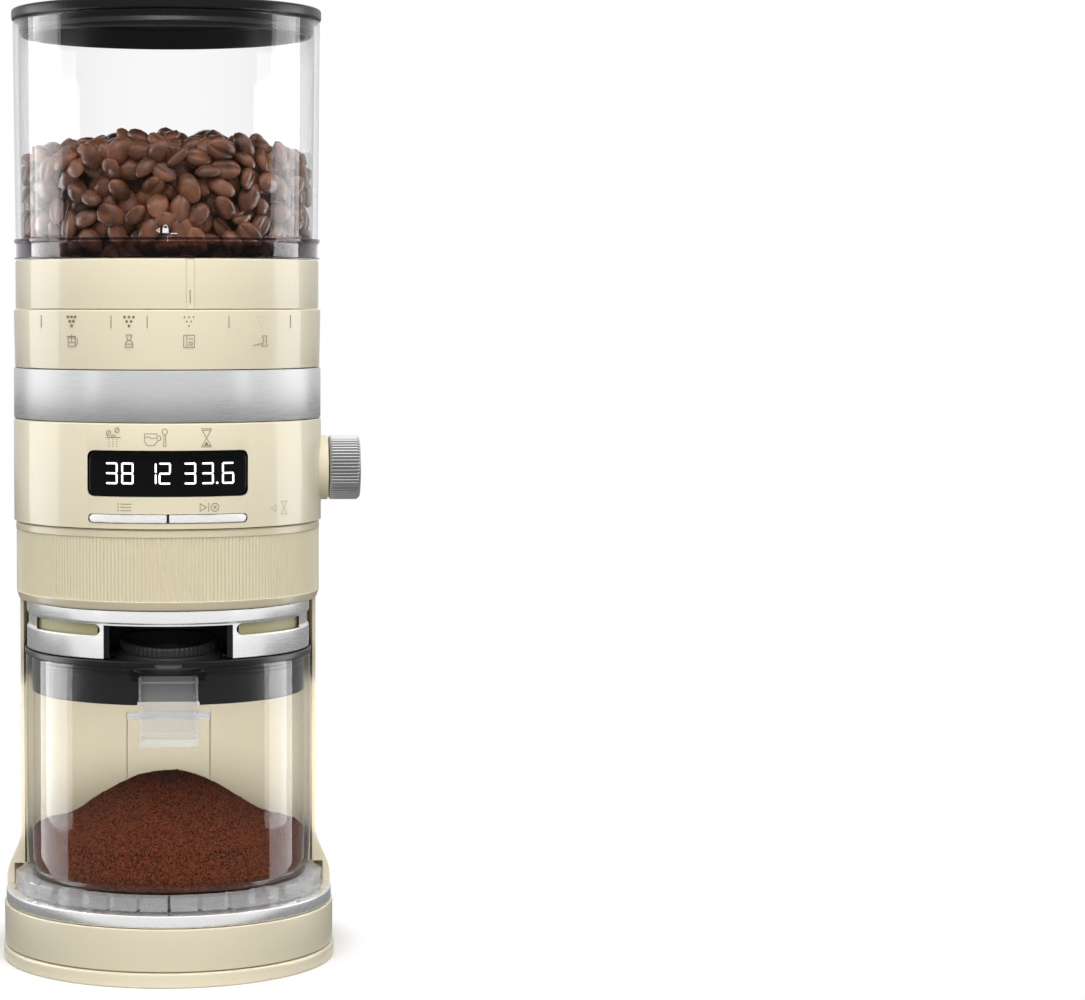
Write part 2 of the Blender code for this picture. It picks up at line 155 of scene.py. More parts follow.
class Shader:
    """A small helper that wires one node material."""

    def __init__(self, name: str) -> None:
        """Starts an empty material with its output."""
        self.material = bpy.data.materials.new(name)
        self.material.use_nodes = True
        self.tree = self.material.node_tree
        self.tree.nodes.clear()
        self.output = self.tree.nodes.new("ShaderNodeOutputMaterial")
        self.place = self.add("ShaderNodeTexCoord").outputs["Object"]

    def add(self, kind: str, **values: object) -> Node:
        """Adds a node to the material, as add_node does."""
        return add_node(self.tree, kind, **values)

    def noise(self, scale: float, stretch: Triple = (1, 1, 1),
              detail: float = 2.0) -> Socket:
        """Noise in the object's own space, stretched along the axes.

        Args:
            scale: Grains per metre.
            stretch: Factors along X, Y and Z.
            detail: Octaves.

        Returns:
            The noise value's socket.
        """
        mapping = self.add("ShaderNodeMapping", Vector=self.place, Scale=stretch)
        return self.add("ShaderNodeTexNoise", Vector=mapping.outputs["Vector"], Scale=scale,
                        Detail=detail).outputs["Fac"]

    def spread(self, value: Socket, low: float, high: float) -> Socket:
        """Maps a value from 0.3-0.7 to the given range.

        Args:
            value: The value's socket.
            low: Where 0.3 goes.
            high: Where 0.7 goes.

        Returns:
            The new value's socket.
        """
        node = self.add("ShaderNodeMapRange", Value=value)
        for key, number in zip(("From Min", "From Max", "To Min", "To Max"), (0.3, 0.7, low, high)):
            node.inputs[key].default_value = number
        return node.outputs["Result"]

    def tint(self, value: Socket, dark: Sequence[float], light: Sequence[float],
             start: float = 0.3, end: float = 0.7) -> Socket:
        """Colour between two tints, by a value that runs from the start to the end.

        Args:
            value: The value's socket.
            dark: Colour at the start.
            light: Colour at the end.
            start: Value of the first colour.
            end: Value of the second colour.

        Returns:
            The colour's socket.
        """
        ramp = self.add("ShaderNodeValToRGB", Fac=value)
        ramp.color_ramp.elements[0].position = start
        ramp.color_ramp.elements[1].position = end
        ramp.color_ramp.elements[0].color = (*dark, 1)
        ramp.color_ramp.elements[1].color = (*light, 1)
        return ramp.outputs["Color"]

    def bump(self, value: Socket, depth: float) -> Socket:
        """A bump from a value, with its depth in metres."""
        return self.add("ShaderNodeBump", Height=value, Distance=depth, Strength=1.0).outputs["Normal"]

    def blend(self, share: object, first: Node, second: Node) -> Node:
        """Mixes two shaders.

        Args:
            share: The share of the second one.
            first: The first shader.
            second: The second shader.

        Returns:
            The mixing node.
        """
        mix = self.add("ShaderNodeMixShader", Fac=share)
        self.tree.links.new(first.outputs[0], mix.inputs[1])
        self.tree.links.new(second.outputs[0], mix.inputs[2])
        return mix

    def finish(self, shader: Node) -> Dress:
        """Joins the last shader to the output."""
        self.tree.links.new(shader.outputs[0], self.output.inputs["Surface"])
        return self.material


def shade(colour: Sequence[float], factor: float) -> Triple:
    """A colour made lighter or darker by a factor, kept within 0 to 1."""
    return tuple(min(1.0, c * factor) for c in colour)


@dataclass(frozen=True)
class Surface:
    """An opaque finish: a colour with faint mottling, its gloss and a fine relief."""
    name: str
    colour: Triple
    roughness: float
    metallic: float = 0.0
    coat: float = 0.0
    mottle: float = 0.02
    grain: float = 900.0
    stretch: Triple = (1, 1, 1)
    depth: float = 0.00002
    rough_spread: float = 0.05
    specular: float = 0.5

    def make(self) -> Dress:
        """Wires the material."""
        book = Shader(self.name)
        fine = book.noise(self.grain, self.stretch, 3)
        broad = book.noise(28, (1, 1, 1), 2)
        colour = book.tint(broad if self.metallic < 0.5 else fine, shade(self.colour, 1 - self.mottle),
                           shade(self.colour, 1 + self.mottle))
        rough = book.spread(fine, max(0.02, self.roughness - self.rough_spread),
                            self.roughness + self.rough_spread)
        shader = book.add("ShaderNodeBsdfPrincipled", Base_Color=colour, Roughness=rough,
                          Normal=book.bump(fine, self.depth))
        shader.inputs["Metallic"].default_value = self.metallic
        shader.inputs["Coat Weight"].default_value = self.coat
        shader.inputs["Coat Roughness"].default_value = 0.04
        shader.inputs["Specular IOR Level"].default_value = self.specular
        return book.finish(shader)


@dataclass(frozen=True)
class ClearPlastic:
    """Polished clear plastic: see-through face on, brighter and greyer where it is seen edge on."""
    name: str
    body: Triple = (0.995, 0.995, 0.995)
    edge: Triple = (0.55, 0.55, 0.58)
    gloss: float = 0.015
    face_on: float = 0.011
    falloff: float = 5.6
    frost: float = 0.0

    @staticmethod
    def math(book: Shader, operation: str, value: Socket, *numbers: float) -> Socket:
        """A sum on a value, with fixed numbers for its other inputs.

        Args:
            book: The material's helper.
            operation: The sum to do.
            value: The value's socket.
            numbers: The other inputs.

        Returns:
            The result's socket.
        """
        node = book.add("ShaderNodeMath")
        node.operation = operation
        book.tree.links.new(value, node.inputs[0])
        for socket, number in zip(node.inputs[1:], numbers):
            socket.default_value = number
        return node.outputs[0]

    def make(self) -> Dress:
        """Wires the material."""
        book = Shader(self.name)
        haze = book.noise(60, (1, 1, 0.3), 2)
        facing = book.add("ShaderNodeLayerWeight", Blend=0.09).outputs["Facing"]
        tinted = book.add("ShaderNodeMix")
        tinted.data_type = 'RGBA'
        book.tree.links.new(facing, tinted.inputs[0])
        tinted.inputs[6].default_value = (*self.body, 1)
        tinted.inputs[7].default_value = (*self.edge, 1)
        through = book.add("ShaderNodeBsdfTransparent", Color=tinted.outputs[2])
        mirror = book.add("ShaderNodeBsdfPrincipled",
                          Roughness=book.spread(haze, self.gloss, self.gloss + 0.03))
        mirror.inputs["Base Color"].default_value = (1, 1, 1, 1)
        mirror.inputs["Metallic"].default_value = 1.0
        grazing = book.add("ShaderNodeLayerWeight", Blend=0.5).outputs["Facing"]
        steep = self.math(book, 'POWER', grazing, self.falloff)
        sheen = self.math(book, 'MULTIPLY_ADD', steep, 1 - self.face_on, self.face_on)
        if self.frost:
            white = book.tint(haze, (0.86, 0.87, 0.87), (0.95, 0.95, 0.95))
            through = book.blend(self.frost, through, book.add("ShaderNodeBsdfDiffuse", Color=white))
        return book.finish(book.blend(sheen, through, mirror))


@dataclass(frozen=True)
class Lit:
    """A lit display segment."""
    name: str
    colour: Triple = (0.94, 0.97, 1.0)
    strength: float = 1.0

    def make(self) -> Dress:
        """Wires the material."""
        book = Shader(self.name)
        glow = book.tint(book.noise(1500), shade(self.colour, 0.93), self.colour)
        shader = book.add("ShaderNodeBsdfPrincipled", Base_Color=glow, Emission_Color=glow)
        shader.inputs["Roughness"].default_value = 0.4
        shader.inputs["Emission Strength"].default_value = self.strength
        return book.finish(shader)


@dataclass(frozen=True)
class Roast:
    """Roasted coffee: brown with lighter chaff and darker patches."""
    name: str
    dark: Triple
    light: Triple
    grain: float
    roughness: float
    depth: float
    specular: float = 0.5
    crumbs: bool = False

    def make(self) -> Dress:
        """Wires the material: crumbs are cells that each have a tint of their own."""
        book = Shader(self.name)
        if self.crumbs:
            cells = book.add("ShaderNodeTexVoronoi", Vector=book.place, Scale=self.grain)
            own = book.add("ShaderNodeSeparateColor", Color=cells.outputs["Color"])
            relief = cells.outputs["Distance"]
            patch = between(book.tree, 0.25, own.outputs["Red"], book.noise(self.grain / 6))
            colour = book.tint(patch, self.dark, self.light, 0.12, 0.85)
        else:
            relief = book.noise(self.grain, detail=4)
            patch = between(book.tree, 0.6, relief, book.noise(self.grain / 4))
            colour = book.tint(patch, self.dark, self.light)
        rough = book.spread(book.noise(self.grain / 3), self.roughness - 0.06, self.roughness + 0.1)
        shader = book.add("ShaderNodeBsdfPrincipled", Base_Color=colour, Roughness=rough,
                          Normal=book.bump(relief, self.depth))
        shader.inputs["Specular IOR Level"].default_value = self.specular
        return book.finish(shader)


CREAM = Surface("cream_paint", (0.80, 0.725, 0.54), 0.36, coat=0.35, mottle=0.004, grain=350,
                depth=0.000001, rough_spread=0.01, specular=0.25)
BAND = Surface("brushed_band", (0.70, 0.70, 0.705), 0.30, 1.0, mottle=0.07, grain=5200,
               stretch=(0.02, 0.02, 1.0), depth=0.000004, rough_spread=0.04)
KNOB_STEEL = Surface("turned_steel", (0.66, 0.66, 0.67), 0.17, 1.0, mottle=0.06, grain=3200,
                     stretch=(0.05, 1.0, 1.0), depth=0.000004, rough_spread=0.04)
SATIN = Surface("satin_alloy", (0.90, 0.90, 0.895), 0.28, 1.0, mottle=0.03, grain=2600,
                stretch=(0.06, 0.06, 1.0), depth=0.000004, rough_spread=0.03)
BLACK = Surface("black_plastic", (0.010, 0.010, 0.011), 0.34, mottle=0.15, grain=1800,
                depth=0.000006, specular=0.4)
CHARCOAL = Surface("charcoal_lid", (0.010, 0.0105, 0.011), 0.30, mottle=0.10, grain=1400,
                   depth=0.000005, rough_spread=0.03, specular=0.3)
RUBBER = Surface("ribbed_rubber", (0.024, 0.024, 0.026), 0.36, mottle=0.15, grain=1200, depth=0.00001,
                 specular=0.5)
GLASSY = Surface("display_glass", (0.0025, 0.0025, 0.003), 0.10, mottle=0.2, grain=500,
                 depth=0.000002, rough_spread=0.02, specular=0.25)
INK = Surface("printed_ink", (0.22, 0.19, 0.12), 0.5, mottle=0.10, grain=2600, depth=0.000004)
FAINT_INK = Surface("pale_ink", (0.52, 0.45, 0.28), 0.5, mottle=0.08, grain=2600, depth=0.000004)
WHITE_INK = Surface("white_ink", (0.80, 0.80, 0.84), 0.5, mottle=0.05, grain=2600, depth=0.000004)
BOARD = Surface("circuit_board", (0.02, 0.13, 0.06), 0.45, mottle=0.35, grain=300, depth=0.00004)
NYLON = Surface("nylon", (0.74, 0.73, 0.68), 0.42, mottle=0.03, grain=900, depth=0.00003)
BURR_STEEL = Surface("ground_steel", (0.46, 0.46, 0.48), 0.26, 1.0, mottle=0.14, grain=2400,
                     stretch=(1, 1, 0.1), depth=0.00003)
ALLOY = Surface("cast_alloy", (0.52, 0.52, 0.53), 0.48, 1.0, mottle=0.10, grain=600, depth=0.0001)
COPPER = Surface("windings", (0.70, 0.36, 0.16), 0.32, 1.0, mottle=0.2, grain=1800,
                 stretch=(0.1, 0.1, 1), depth=0.0001)
# Collar cream: the body cream darkened, as painted shade that the fine flutes cast on one another.
COLLAR_CREAM_SHADED = Surface("collar_cream", (0.73, 0.655, 0.465), 0.36, coat=0.25, mottle=0.004, grain=350,
                       depth=0.000001, rough_spread=0.01, specular=0.25)
# Slot cream: cream darkened to an olive, as painted shade inside the neck behind its slots.
SLOT_CREAM_SHADED = Surface("slot_cream", (0.40, 0.36, 0.18), 0.5, mottle=0.02, grain=350, depth=0.000002)
CLEAR = ClearPlastic("clear_plastic")
JAR_CLEAR = ClearPlastic("jar_plastic", edge=(0.84, 0.84, 0.85))
SMOKED = ClearPlastic("smoked_lip", body=(0.52, 0.48, 0.54), edge=(0.3, 0.28, 0.32))
SMOKED_FOOT = ClearPlastic("smoked_foot", body=(0.58, 0.54, 0.56), edge=(0.3, 0.28, 0.32))
MILKY = ClearPlastic("milky_plastic", edge=(0.84, 0.84, 0.85), frost=0.14)
# Frosted ribs: clear plastic frosted white, as painted highlights on the jar's foot facets and the
# chute's edges.
FROST_AS_HIGHLIGHT = ClearPlastic("frosted_ribs", edge=(0.84, 0.84, 0.85), frost=0.22)
DIGITS = Lit("display_digits")
BEAN = Roast("roasted_bean", (0.028, 0.009, 0.005), (0.245, 0.095, 0.045), 220, 0.26, 0.0002, 0.7)
# Bean shadow: a dark brown painted shadow for the inside of the heap, seen between the beans.
BEAN_SHADOW_FILL = Roast("bean_shadow", (0.012, 0.005, 0.003), (0.05, 0.02, 0.01), 120, 0.7, 0.002, 0.2)
GROUNDS = Roast("ground_coffee", (0.006, 0.002, 0.001), (0.28, 0.064, 0.017), 1900, 0.75, 0.0007, 0.12,
                crumbs=True)

_made: dict[str, Dress] = {}


def material(finish: object) -> Dress:
    """The Blender material of a finish, made once.

    Args:
        finish: The finish.

    Returns:
        The material.
    """
    if finish.name not in _made:
        _made[finish.name] = finish.make()
    return _made[finish.name]


# ---- surfaces ----
def fillet(points: Sequence[Sequence[float]], steps: int = 5, closed: bool = False) -> Array:
    """Rounds the corners of an outline.

    Each corner with a radius is replaced by points on the curve (1-t)^2 A + 2t(1-t) C + t^2 B,
    where C is the corner and A and B lie one radius from it along its two sides.

    Args:
        points: (x, y) or (x, y, radius) for each corner.
        steps: Pieces of each rounded corner.
        closed: Whether the outline runs back to its start.

    Returns:
        An array of points, shape (N, 2).
    """
    count = len(points)
    t = np.linspace(0, 1, steps + 1)[:, None]
    out = []
    for i, corner in enumerate(points):
        here = np.array(corner[:2], float)
        radius = corner[2] if len(corner) > 2 else 0.0
        if radius <= 0 or (not closed and i in (0, count - 1)):
            out.append(here[None])
            continue
        before = np.array(points[i - 1][:2], float) - here
        after = np.array(points[(i + 1) % count][:2], float) - here
        start = here + before / np.linalg.norm(before) * min(radius, np.linalg.norm(before) / 2)
        end = here + after / np.linalg.norm(after) * min(radius, np.linalg.norm(after) / 2)
        out.append((1 - t) ** 2 * start + 2 * t * (1 - t) * here + t ** 2 * end)
    return np.concatenate(out)


def new_mesh(name: str, points: Array, faces: Sequence, weld: float = 0.0) -> bpy.types.Mesh:
    """A mesh from points in millimetres, with its faces turned out, and welded if told to.

    Args:
        name: The mesh's name.
        points: Vertices, shape (N, 3).
        faces: Vertex numbers of each face.
        weld: If set, points nearer than this, in metres, become one.

    Returns:
        The mesh.
    """
    mesh = bpy.data.meshes.new(name)
    mesh.from_pydata((np.asarray(points, float) * MM).tolist(), [],
                     faces.tolist() if isinstance(faces, Array) else faces)
    bm = bmesh.new()
    bm.from_mesh(mesh)
    if weld:
        bmesh.ops.remove_doubles(bm, verts=bm.verts, dist=weld)
    bmesh.ops.recalc_face_normals(bm, faces=bm.faces)
    bm.to_mesh(mesh)
    bm.free()
    return mesh


def placed(name: str, mesh: bpy.types.Mesh, dress: Dress) -> Piece:
    """A new object at the origin, in one material.

    Args:
        name: The object's name.
        mesh: Its mesh.
        dress: Its material.

    Returns:
        The object.
    """
    mesh.materials.append(dress)
    obj = bpy.data.objects.new(name, mesh)
    bpy.context.scene.collection.objects.link(obj)
    return obj


def smoothed(mesh: bpy.types.Mesh, sharp: float = SHARP) -> None:
    """Shades a mesh smooth, but for the edges bent more than some degrees."""
    mesh.shade_smooth()
    mesh.set_sharp_from_angle(angle=math.radians(sharp))


def mesh_object(name: str, points: Array, faces: Sequence, finish: object,
                sharp: float = SHARP) -> Piece:
    """Makes an object from points in millimetres: welds it, turns its faces out, shades it smooth.

    Args:
        name: The object's name.
        points: Vertices, shape (N, 3).
        faces: Vertex numbers of each face.
        finish: The finish to dress it in.
        sharp: Edges bent more than this many degrees stay sharp.

    Returns:
        The object, at the origin.
    """
    obj = placed(name, new_mesh(name, points, faces, WELD), material(finish))
    smoothed(obj.data, sharp)
    return obj


def grid_faces(rows: int, columns: int, wrap_rows: bool, wrap_columns: bool) -> Array:
    """Four-sided faces of a grid of points, joined round where it wraps.

    Args:
        rows: Rows of points.
        columns: Points in each row.
        wrap_rows: Whether the last row joins the first.
        wrap_columns: Whether each row runs back to its start.

    Returns:
        Vertex numbers, shape (N, 4).
    """
    i = np.arange(rows if wrap_rows else rows - 1)[:, None]
    j = np.arange(columns if wrap_columns else columns - 1)[None, :]
    i2, j2 = (i + 1) % rows, (j + 1) % columns
    quads = [i * columns + j, i * columns + j2, i2 * columns + j2, i2 * columns + j]
    return np.stack([np.broadcast_to(q, (i.shape[0], j.shape[1])).ravel() for q in quads], axis=1)


def turned(name: str, profile: Sequence[Sequence[float]], finish: object, steps: int = 192,
           centre: Triple = (0, 0, 0), axis: Axis = Axis.UP,
           relief: Optional[Relief] = None, corner_steps: int = 5, rows: int = 0,
           sharp: float = SHARP) -> Piece:
    """Turns a profile about an axis: x = r cos(a), y = r sin(a), z = height.

    A profile that starts and ends at radius 0 makes a solid, any other closes on itself.

    Args:
        name: The object's name.
        profile: (radius, height) or (radius, height, corner radius) points.
        finish: The finish.
        steps: Points round the turn.
        centre: Where the axis stands.
        axis: Up or sideways.
        relief: A function (angle, radius, height) to a changed radius.
        corner_steps: Pieces of each rounded corner.
        rows: If set, longest distance between profile points is one over this of the profile.
        sharp: Edges bent more than this many degrees stay sharp.

    Returns:
        The object.
    """
    solid = profile[0][0] == 0
    line = fillet(profile, corner_steps, closed=not solid)
    if rows:
        line = resample(line, rows, closed=not solid)
    angle = (np.arange(steps) / steps * TAU)[:, None]
    radius = np.broadcast_to(line[None, :, 0], (steps, len(line)))
    height = np.broadcast_to(line[None, :, 1], (steps, len(line)))
    if relief:
        radius = relief(np.broadcast_to(angle, radius.shape), radius, height)
    points = np.stack([radius * np.cos(angle), radius * np.sin(angle), height], axis=-1)
    points = points.reshape(-1, 3)
    if axis is Axis.SIDE:
        points = points[:, [2, 1, 0]] * np.array([1, 1, -1])
    return mesh_object(name, points + np.array(centre),
                       grid_faces(steps, len(line), True, not solid), finish, sharp)


def resample(line: Array, rows: int, closed: bool) -> Array:
    """Adds points to a line until no gap is longer than its length over rows.

    Args:
        line: Points, shape (N, 2).
        rows: How many gaps of even length the line would have.
        closed: Whether the line runs back to its start.

    Returns:
        The line with its added points.
    """
    ends = np.roll(line, -1, axis=0) if closed else line[1:]
    starts = line if closed else line[:-1]
    gaps = np.linalg.norm(ends - starts, axis=1)
    pieces = np.maximum(1, np.ceil(gaps / (gaps.sum() / rows))).astype(int)
    out = [starts[i] + (ends[i] - starts[i]) * np.linspace(0, 1, n, endpoint=False)[:, None]
           for i, n in enumerate(pieces)]
    if not closed:
        out.append(line[-1:])
    return np.concatenate(out)


def arc(radius: float, start: float, end: float, count: int, centre: Point = (0, 0)) -> Array:
    """Points along an arc, with angles in degrees."""
    turn = np.radians(np.linspace(start, end, count + 1))
    return np.stack([centre[0] + radius * np.cos(turn), centre[1] + radius * np.sin(turn)], axis=1)


def spine_outline(radius: float, half_width: float, back: float, corner: float = 18.0,
                  inset: float = 0.0) -> Array:
    """A round front joined by tangents to a back with two rounded corners, drawn in by an inset.

    Args:
        radius: Radius of the front.
        half_width: Half the width of the back.
        back: How far back it reaches.
        corner: Radius of the back corners.
        inset: How far it is drawn in.

    Returns:
        Points, shape (N, 2).
    """
    cx, cy = half_width - corner, back - corner
    corner, radius = corner - inset, radius - inset
    tangent = math.degrees(math.atan2(cy, cx) - math.acos((radius - corner) / math.hypot(cx, cy)))
    return np.concatenate([arc(radius, 180 - tangent, 360 + tangent, 150),
                           arc(corner, tangent, 90, 16, (cx, cy)),
                           arc(corner, 90, 180 - tangent, 16, (-cx, cy))])


def lofted(name: str, sections: Sequence[tuple[float, Array]], finish: object) -> Piece:
    """A closed solid through outlines with equal numbers of points, each at its own height.

    Args:
        name: The object's name.
        sections: The height and outline of each section.
        finish: The finish.

    Returns:
        The object.
    """
    rings = [np.column_stack([outline, np.full(len(outline), z)]) for z, outline in sections]
    count = len(rings[0])
    faces = grid_faces(len(rings), count, False, True).tolist()
    faces.append(list(range(count)))
    faces.append(list(range((len(rings) - 1) * count, len(rings) * count)))
    return mesh_object(name, np.concatenate(rings), faces, finish)


def rounded_prism(name: str, outline: Callable[[float], Array], low: float, high: float,
                  edge: float, finish: object) -> Piece:
    """A prism whose top and bottom edges are quarter rounds: inset = edge (1 - sin t).

    Args:
        name: The object's name.
        outline: A function from an inset to an outline.
        low: Height of the bottom.
        high: Height of the top.
        edge: Radius of the edges.
        finish: The finish.

    Returns:
        The object.
    """
    turn = np.linspace(0, math.pi / 2, 5)
    inset = edge * (1 - np.sin(turn))
    rise = edge * (1 - np.cos(turn))
    sections = [(low + r, outline(i)) for r, i in zip(rise, inset)]
    sections += [(high - r, outline(i)) for r, i in zip(rise[::-1], inset[::-1])]
    return lofted(name, sections, finish)


def block(name: str, low: Sequence[float], high: Sequence[float],
          finish: object) -> Piece:
    """A box between two corners.

    Args:
        name: The object's name.
        low: Lowest corner.
        high: Highest corner.
        finish: The finish.

    Returns:
        The object.
    """
    x0, y0, z0 = low
    x1, y1, z1 = high
    outline = np.array([(x0, y0), (x1, y0), (x1, y1), (x0, y1)], float)
    return lofted(name, [(z0, outline), (z1, outline)], finish)


def rod(name: str, radius: float, low: float, high: float, finish: object, steps: int = 192,
        centre: Triple = (0, 0, 0), axis: Axis = Axis.UP) -> Piece:
    """A plain cylinder, for cutting with."""
    return turned(name, [(0, high), (radius, high), (radius, low), (0, low)], finish, steps, centre,
                  axis)


def combine(obj: Piece, operation: str, *tools: Piece) -> Piece:
    """Cuts or joins with exact Booleans, applies them, and removes the tools.

    Args:
        obj: The piece.
        operation: DIFFERENCE, UNION or INTERSECT.
        tools: The tools, used up by the call.

    Returns:
        The piece.
    """
    for tool in tools:
        boolean = obj.modifiers.new("cut", 'BOOLEAN')
        boolean.operation = operation
        boolean.object = tool
        boolean.solver = 'EXACT'
    graph = bpy.context.evaluated_depsgraph_get()
    mesh = bpy.data.meshes.new_from_object(obj.evaluated_get(graph))
    obj.modifiers.clear()
    old, obj.data = obj.data, mesh
    mesh.name = obj.name
    bpy.data.meshes.remove(old)
    for tool in tools:
        bpy.data.objects.remove(tool, do_unlink=True)
    finish = obj.data.materials[0]
    obj.data.materials.clear()
    obj.data.materials.append(finish)
    obj.data.polygons.foreach_set("material_index", np.zeros(len(obj.data.polygons), np.int32))
    smoothed(obj.data)
    return obj


def joined(name: str, pieces: Sequence[Piece]) -> Piece:
    """Several objects as one mesh.

    Args:
        name: The object's name.
        pieces: The objects, used up by the call.

    Returns:
        The joined object, in the first one's finish.
    """
    bm = bmesh.new()
    for piece in pieces:
        bm.from_mesh(piece.data)
    mesh = bpy.data.meshes.new(name)
    bm.to_mesh(mesh)
    bm.free()
    smoothed(mesh)
    obj = placed(name, mesh, pieces[0].data.materials[0])
    for piece in pieces:
        bpy.data.objects.remove(piece, do_unlink=True)
    return obj


def seat(obj: Piece, body: Body, slot: str, *nodes: str) -> Piece:
    """Puts a finished piece on its moving group and hides the frame's nodes it stands for.

    Args:
        obj: The piece.
        body: The moving group it rides on.
        slot: Not used.
        nodes: The frame's nodes it stands for.

    Returns:
        The piece.
    """
    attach(obj, body.value)
    if nodes:
        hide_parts(*nodes)
    LOG.info("%s: %d faces on %s", obj.name, len(obj.data.polygons), body.value)
    return obj


def let_light_in(obj: Piece) -> None:
    """Lets soft light pass a clear piece unchanged, so what stands behind it stays bright."""
    obj.visible_diffuse = False
    obj.visible_shadow = False


# ---- printed marks ----
@dataclass
class Print:
    """Marks printed on a round wall: strokes and filled shapes laid on a cylinder.

    A mark's x is its sideways distance from the axis and z its height, both in millimetres, so a
    point lies at x, y = -sqrt(r^2 - x^2), z.
    """
    name: str
    radius: float
    finish: object
    thickness: float = 0.06
    points: list = field(default_factory=list)
    faces: list = field(default_factory=list)

    def fill(self, outline: Sequence[Point]) -> None:
        """A filled outline, as a thin slab.

        Args:
            outline: (x, z) points in order.
        """
        flat = np.array(outline, float)
        start, count = len(self.points), len(flat)
        for radius in (self.radius, self.radius + self.thickness):
            depth = -np.sqrt(radius ** 2 - np.minimum(flat[:, 0] ** 2, radius ** 2 - 1))
            self.points += np.column_stack([flat[:, 0], depth, flat[:, 1]]).tolist()
        self.faces.append([start + i for i in range(count)][::-1])
        self.faces.append([start + count + i for i in range(count)])
        self.faces += [[start + i, start + (i + 1) % count, start + count + (i + 1) % count,
                        start + count + i] for i in range(count)]

    def stroke(self, path: Sequence[Point], width: float, closed: bool = False) -> None:
        """A line of even width along a path, one slab for each straight piece.

        Args:
            path: (x, z) points.
            width: Width of the line.
            closed: Whether it runs back to its start.
        """
        line = [np.array(p, float) for p in path]
        pairs = list(zip(line, line[1:] + line[:1] if closed else line[1:]))
        for a, b in pairs:
            along = (b - a) / max(np.linalg.norm(b - a), 1e-6) * width / 2
            side = np.array([-along[1], along[0]])
            a2, b2 = a - along * 0.9, b + along * 0.9
            self.fill([a2 - side, b2 - side, b2 + side, a2 + side])

    def disc(self, x: float, z: float, radius: float, count: int = 12) -> None:
        """A filled dot."""
        self.fill(arc(radius, 0, 360 - 360 / count, count - 1, (x, z)))

    def ring(self, x: float, z: float, rx: float, rz: float, width: float, start: float = 0,
             end: float = 360) -> None:
        """An elliptical line, whole or in part.

        Args:
            x: Sideways place of its middle.
            z: Height of its middle.
            rx: Sideways radius.
            rz: Upright radius.
            width: Width of the line.
            start: First angle, in degrees.
            end: Last angle, in degrees.
        """
        turn = np.radians(np.linspace(start, end, 17))
        self.stroke(np.column_stack([x + rx * np.cos(turn), z + rz * np.sin(turn)]), width)

    def make(self) -> Piece:
        """The marks as one object."""
        return placed(self.name, new_mesh(self.name, self.points, self.faces), material(self.finish))


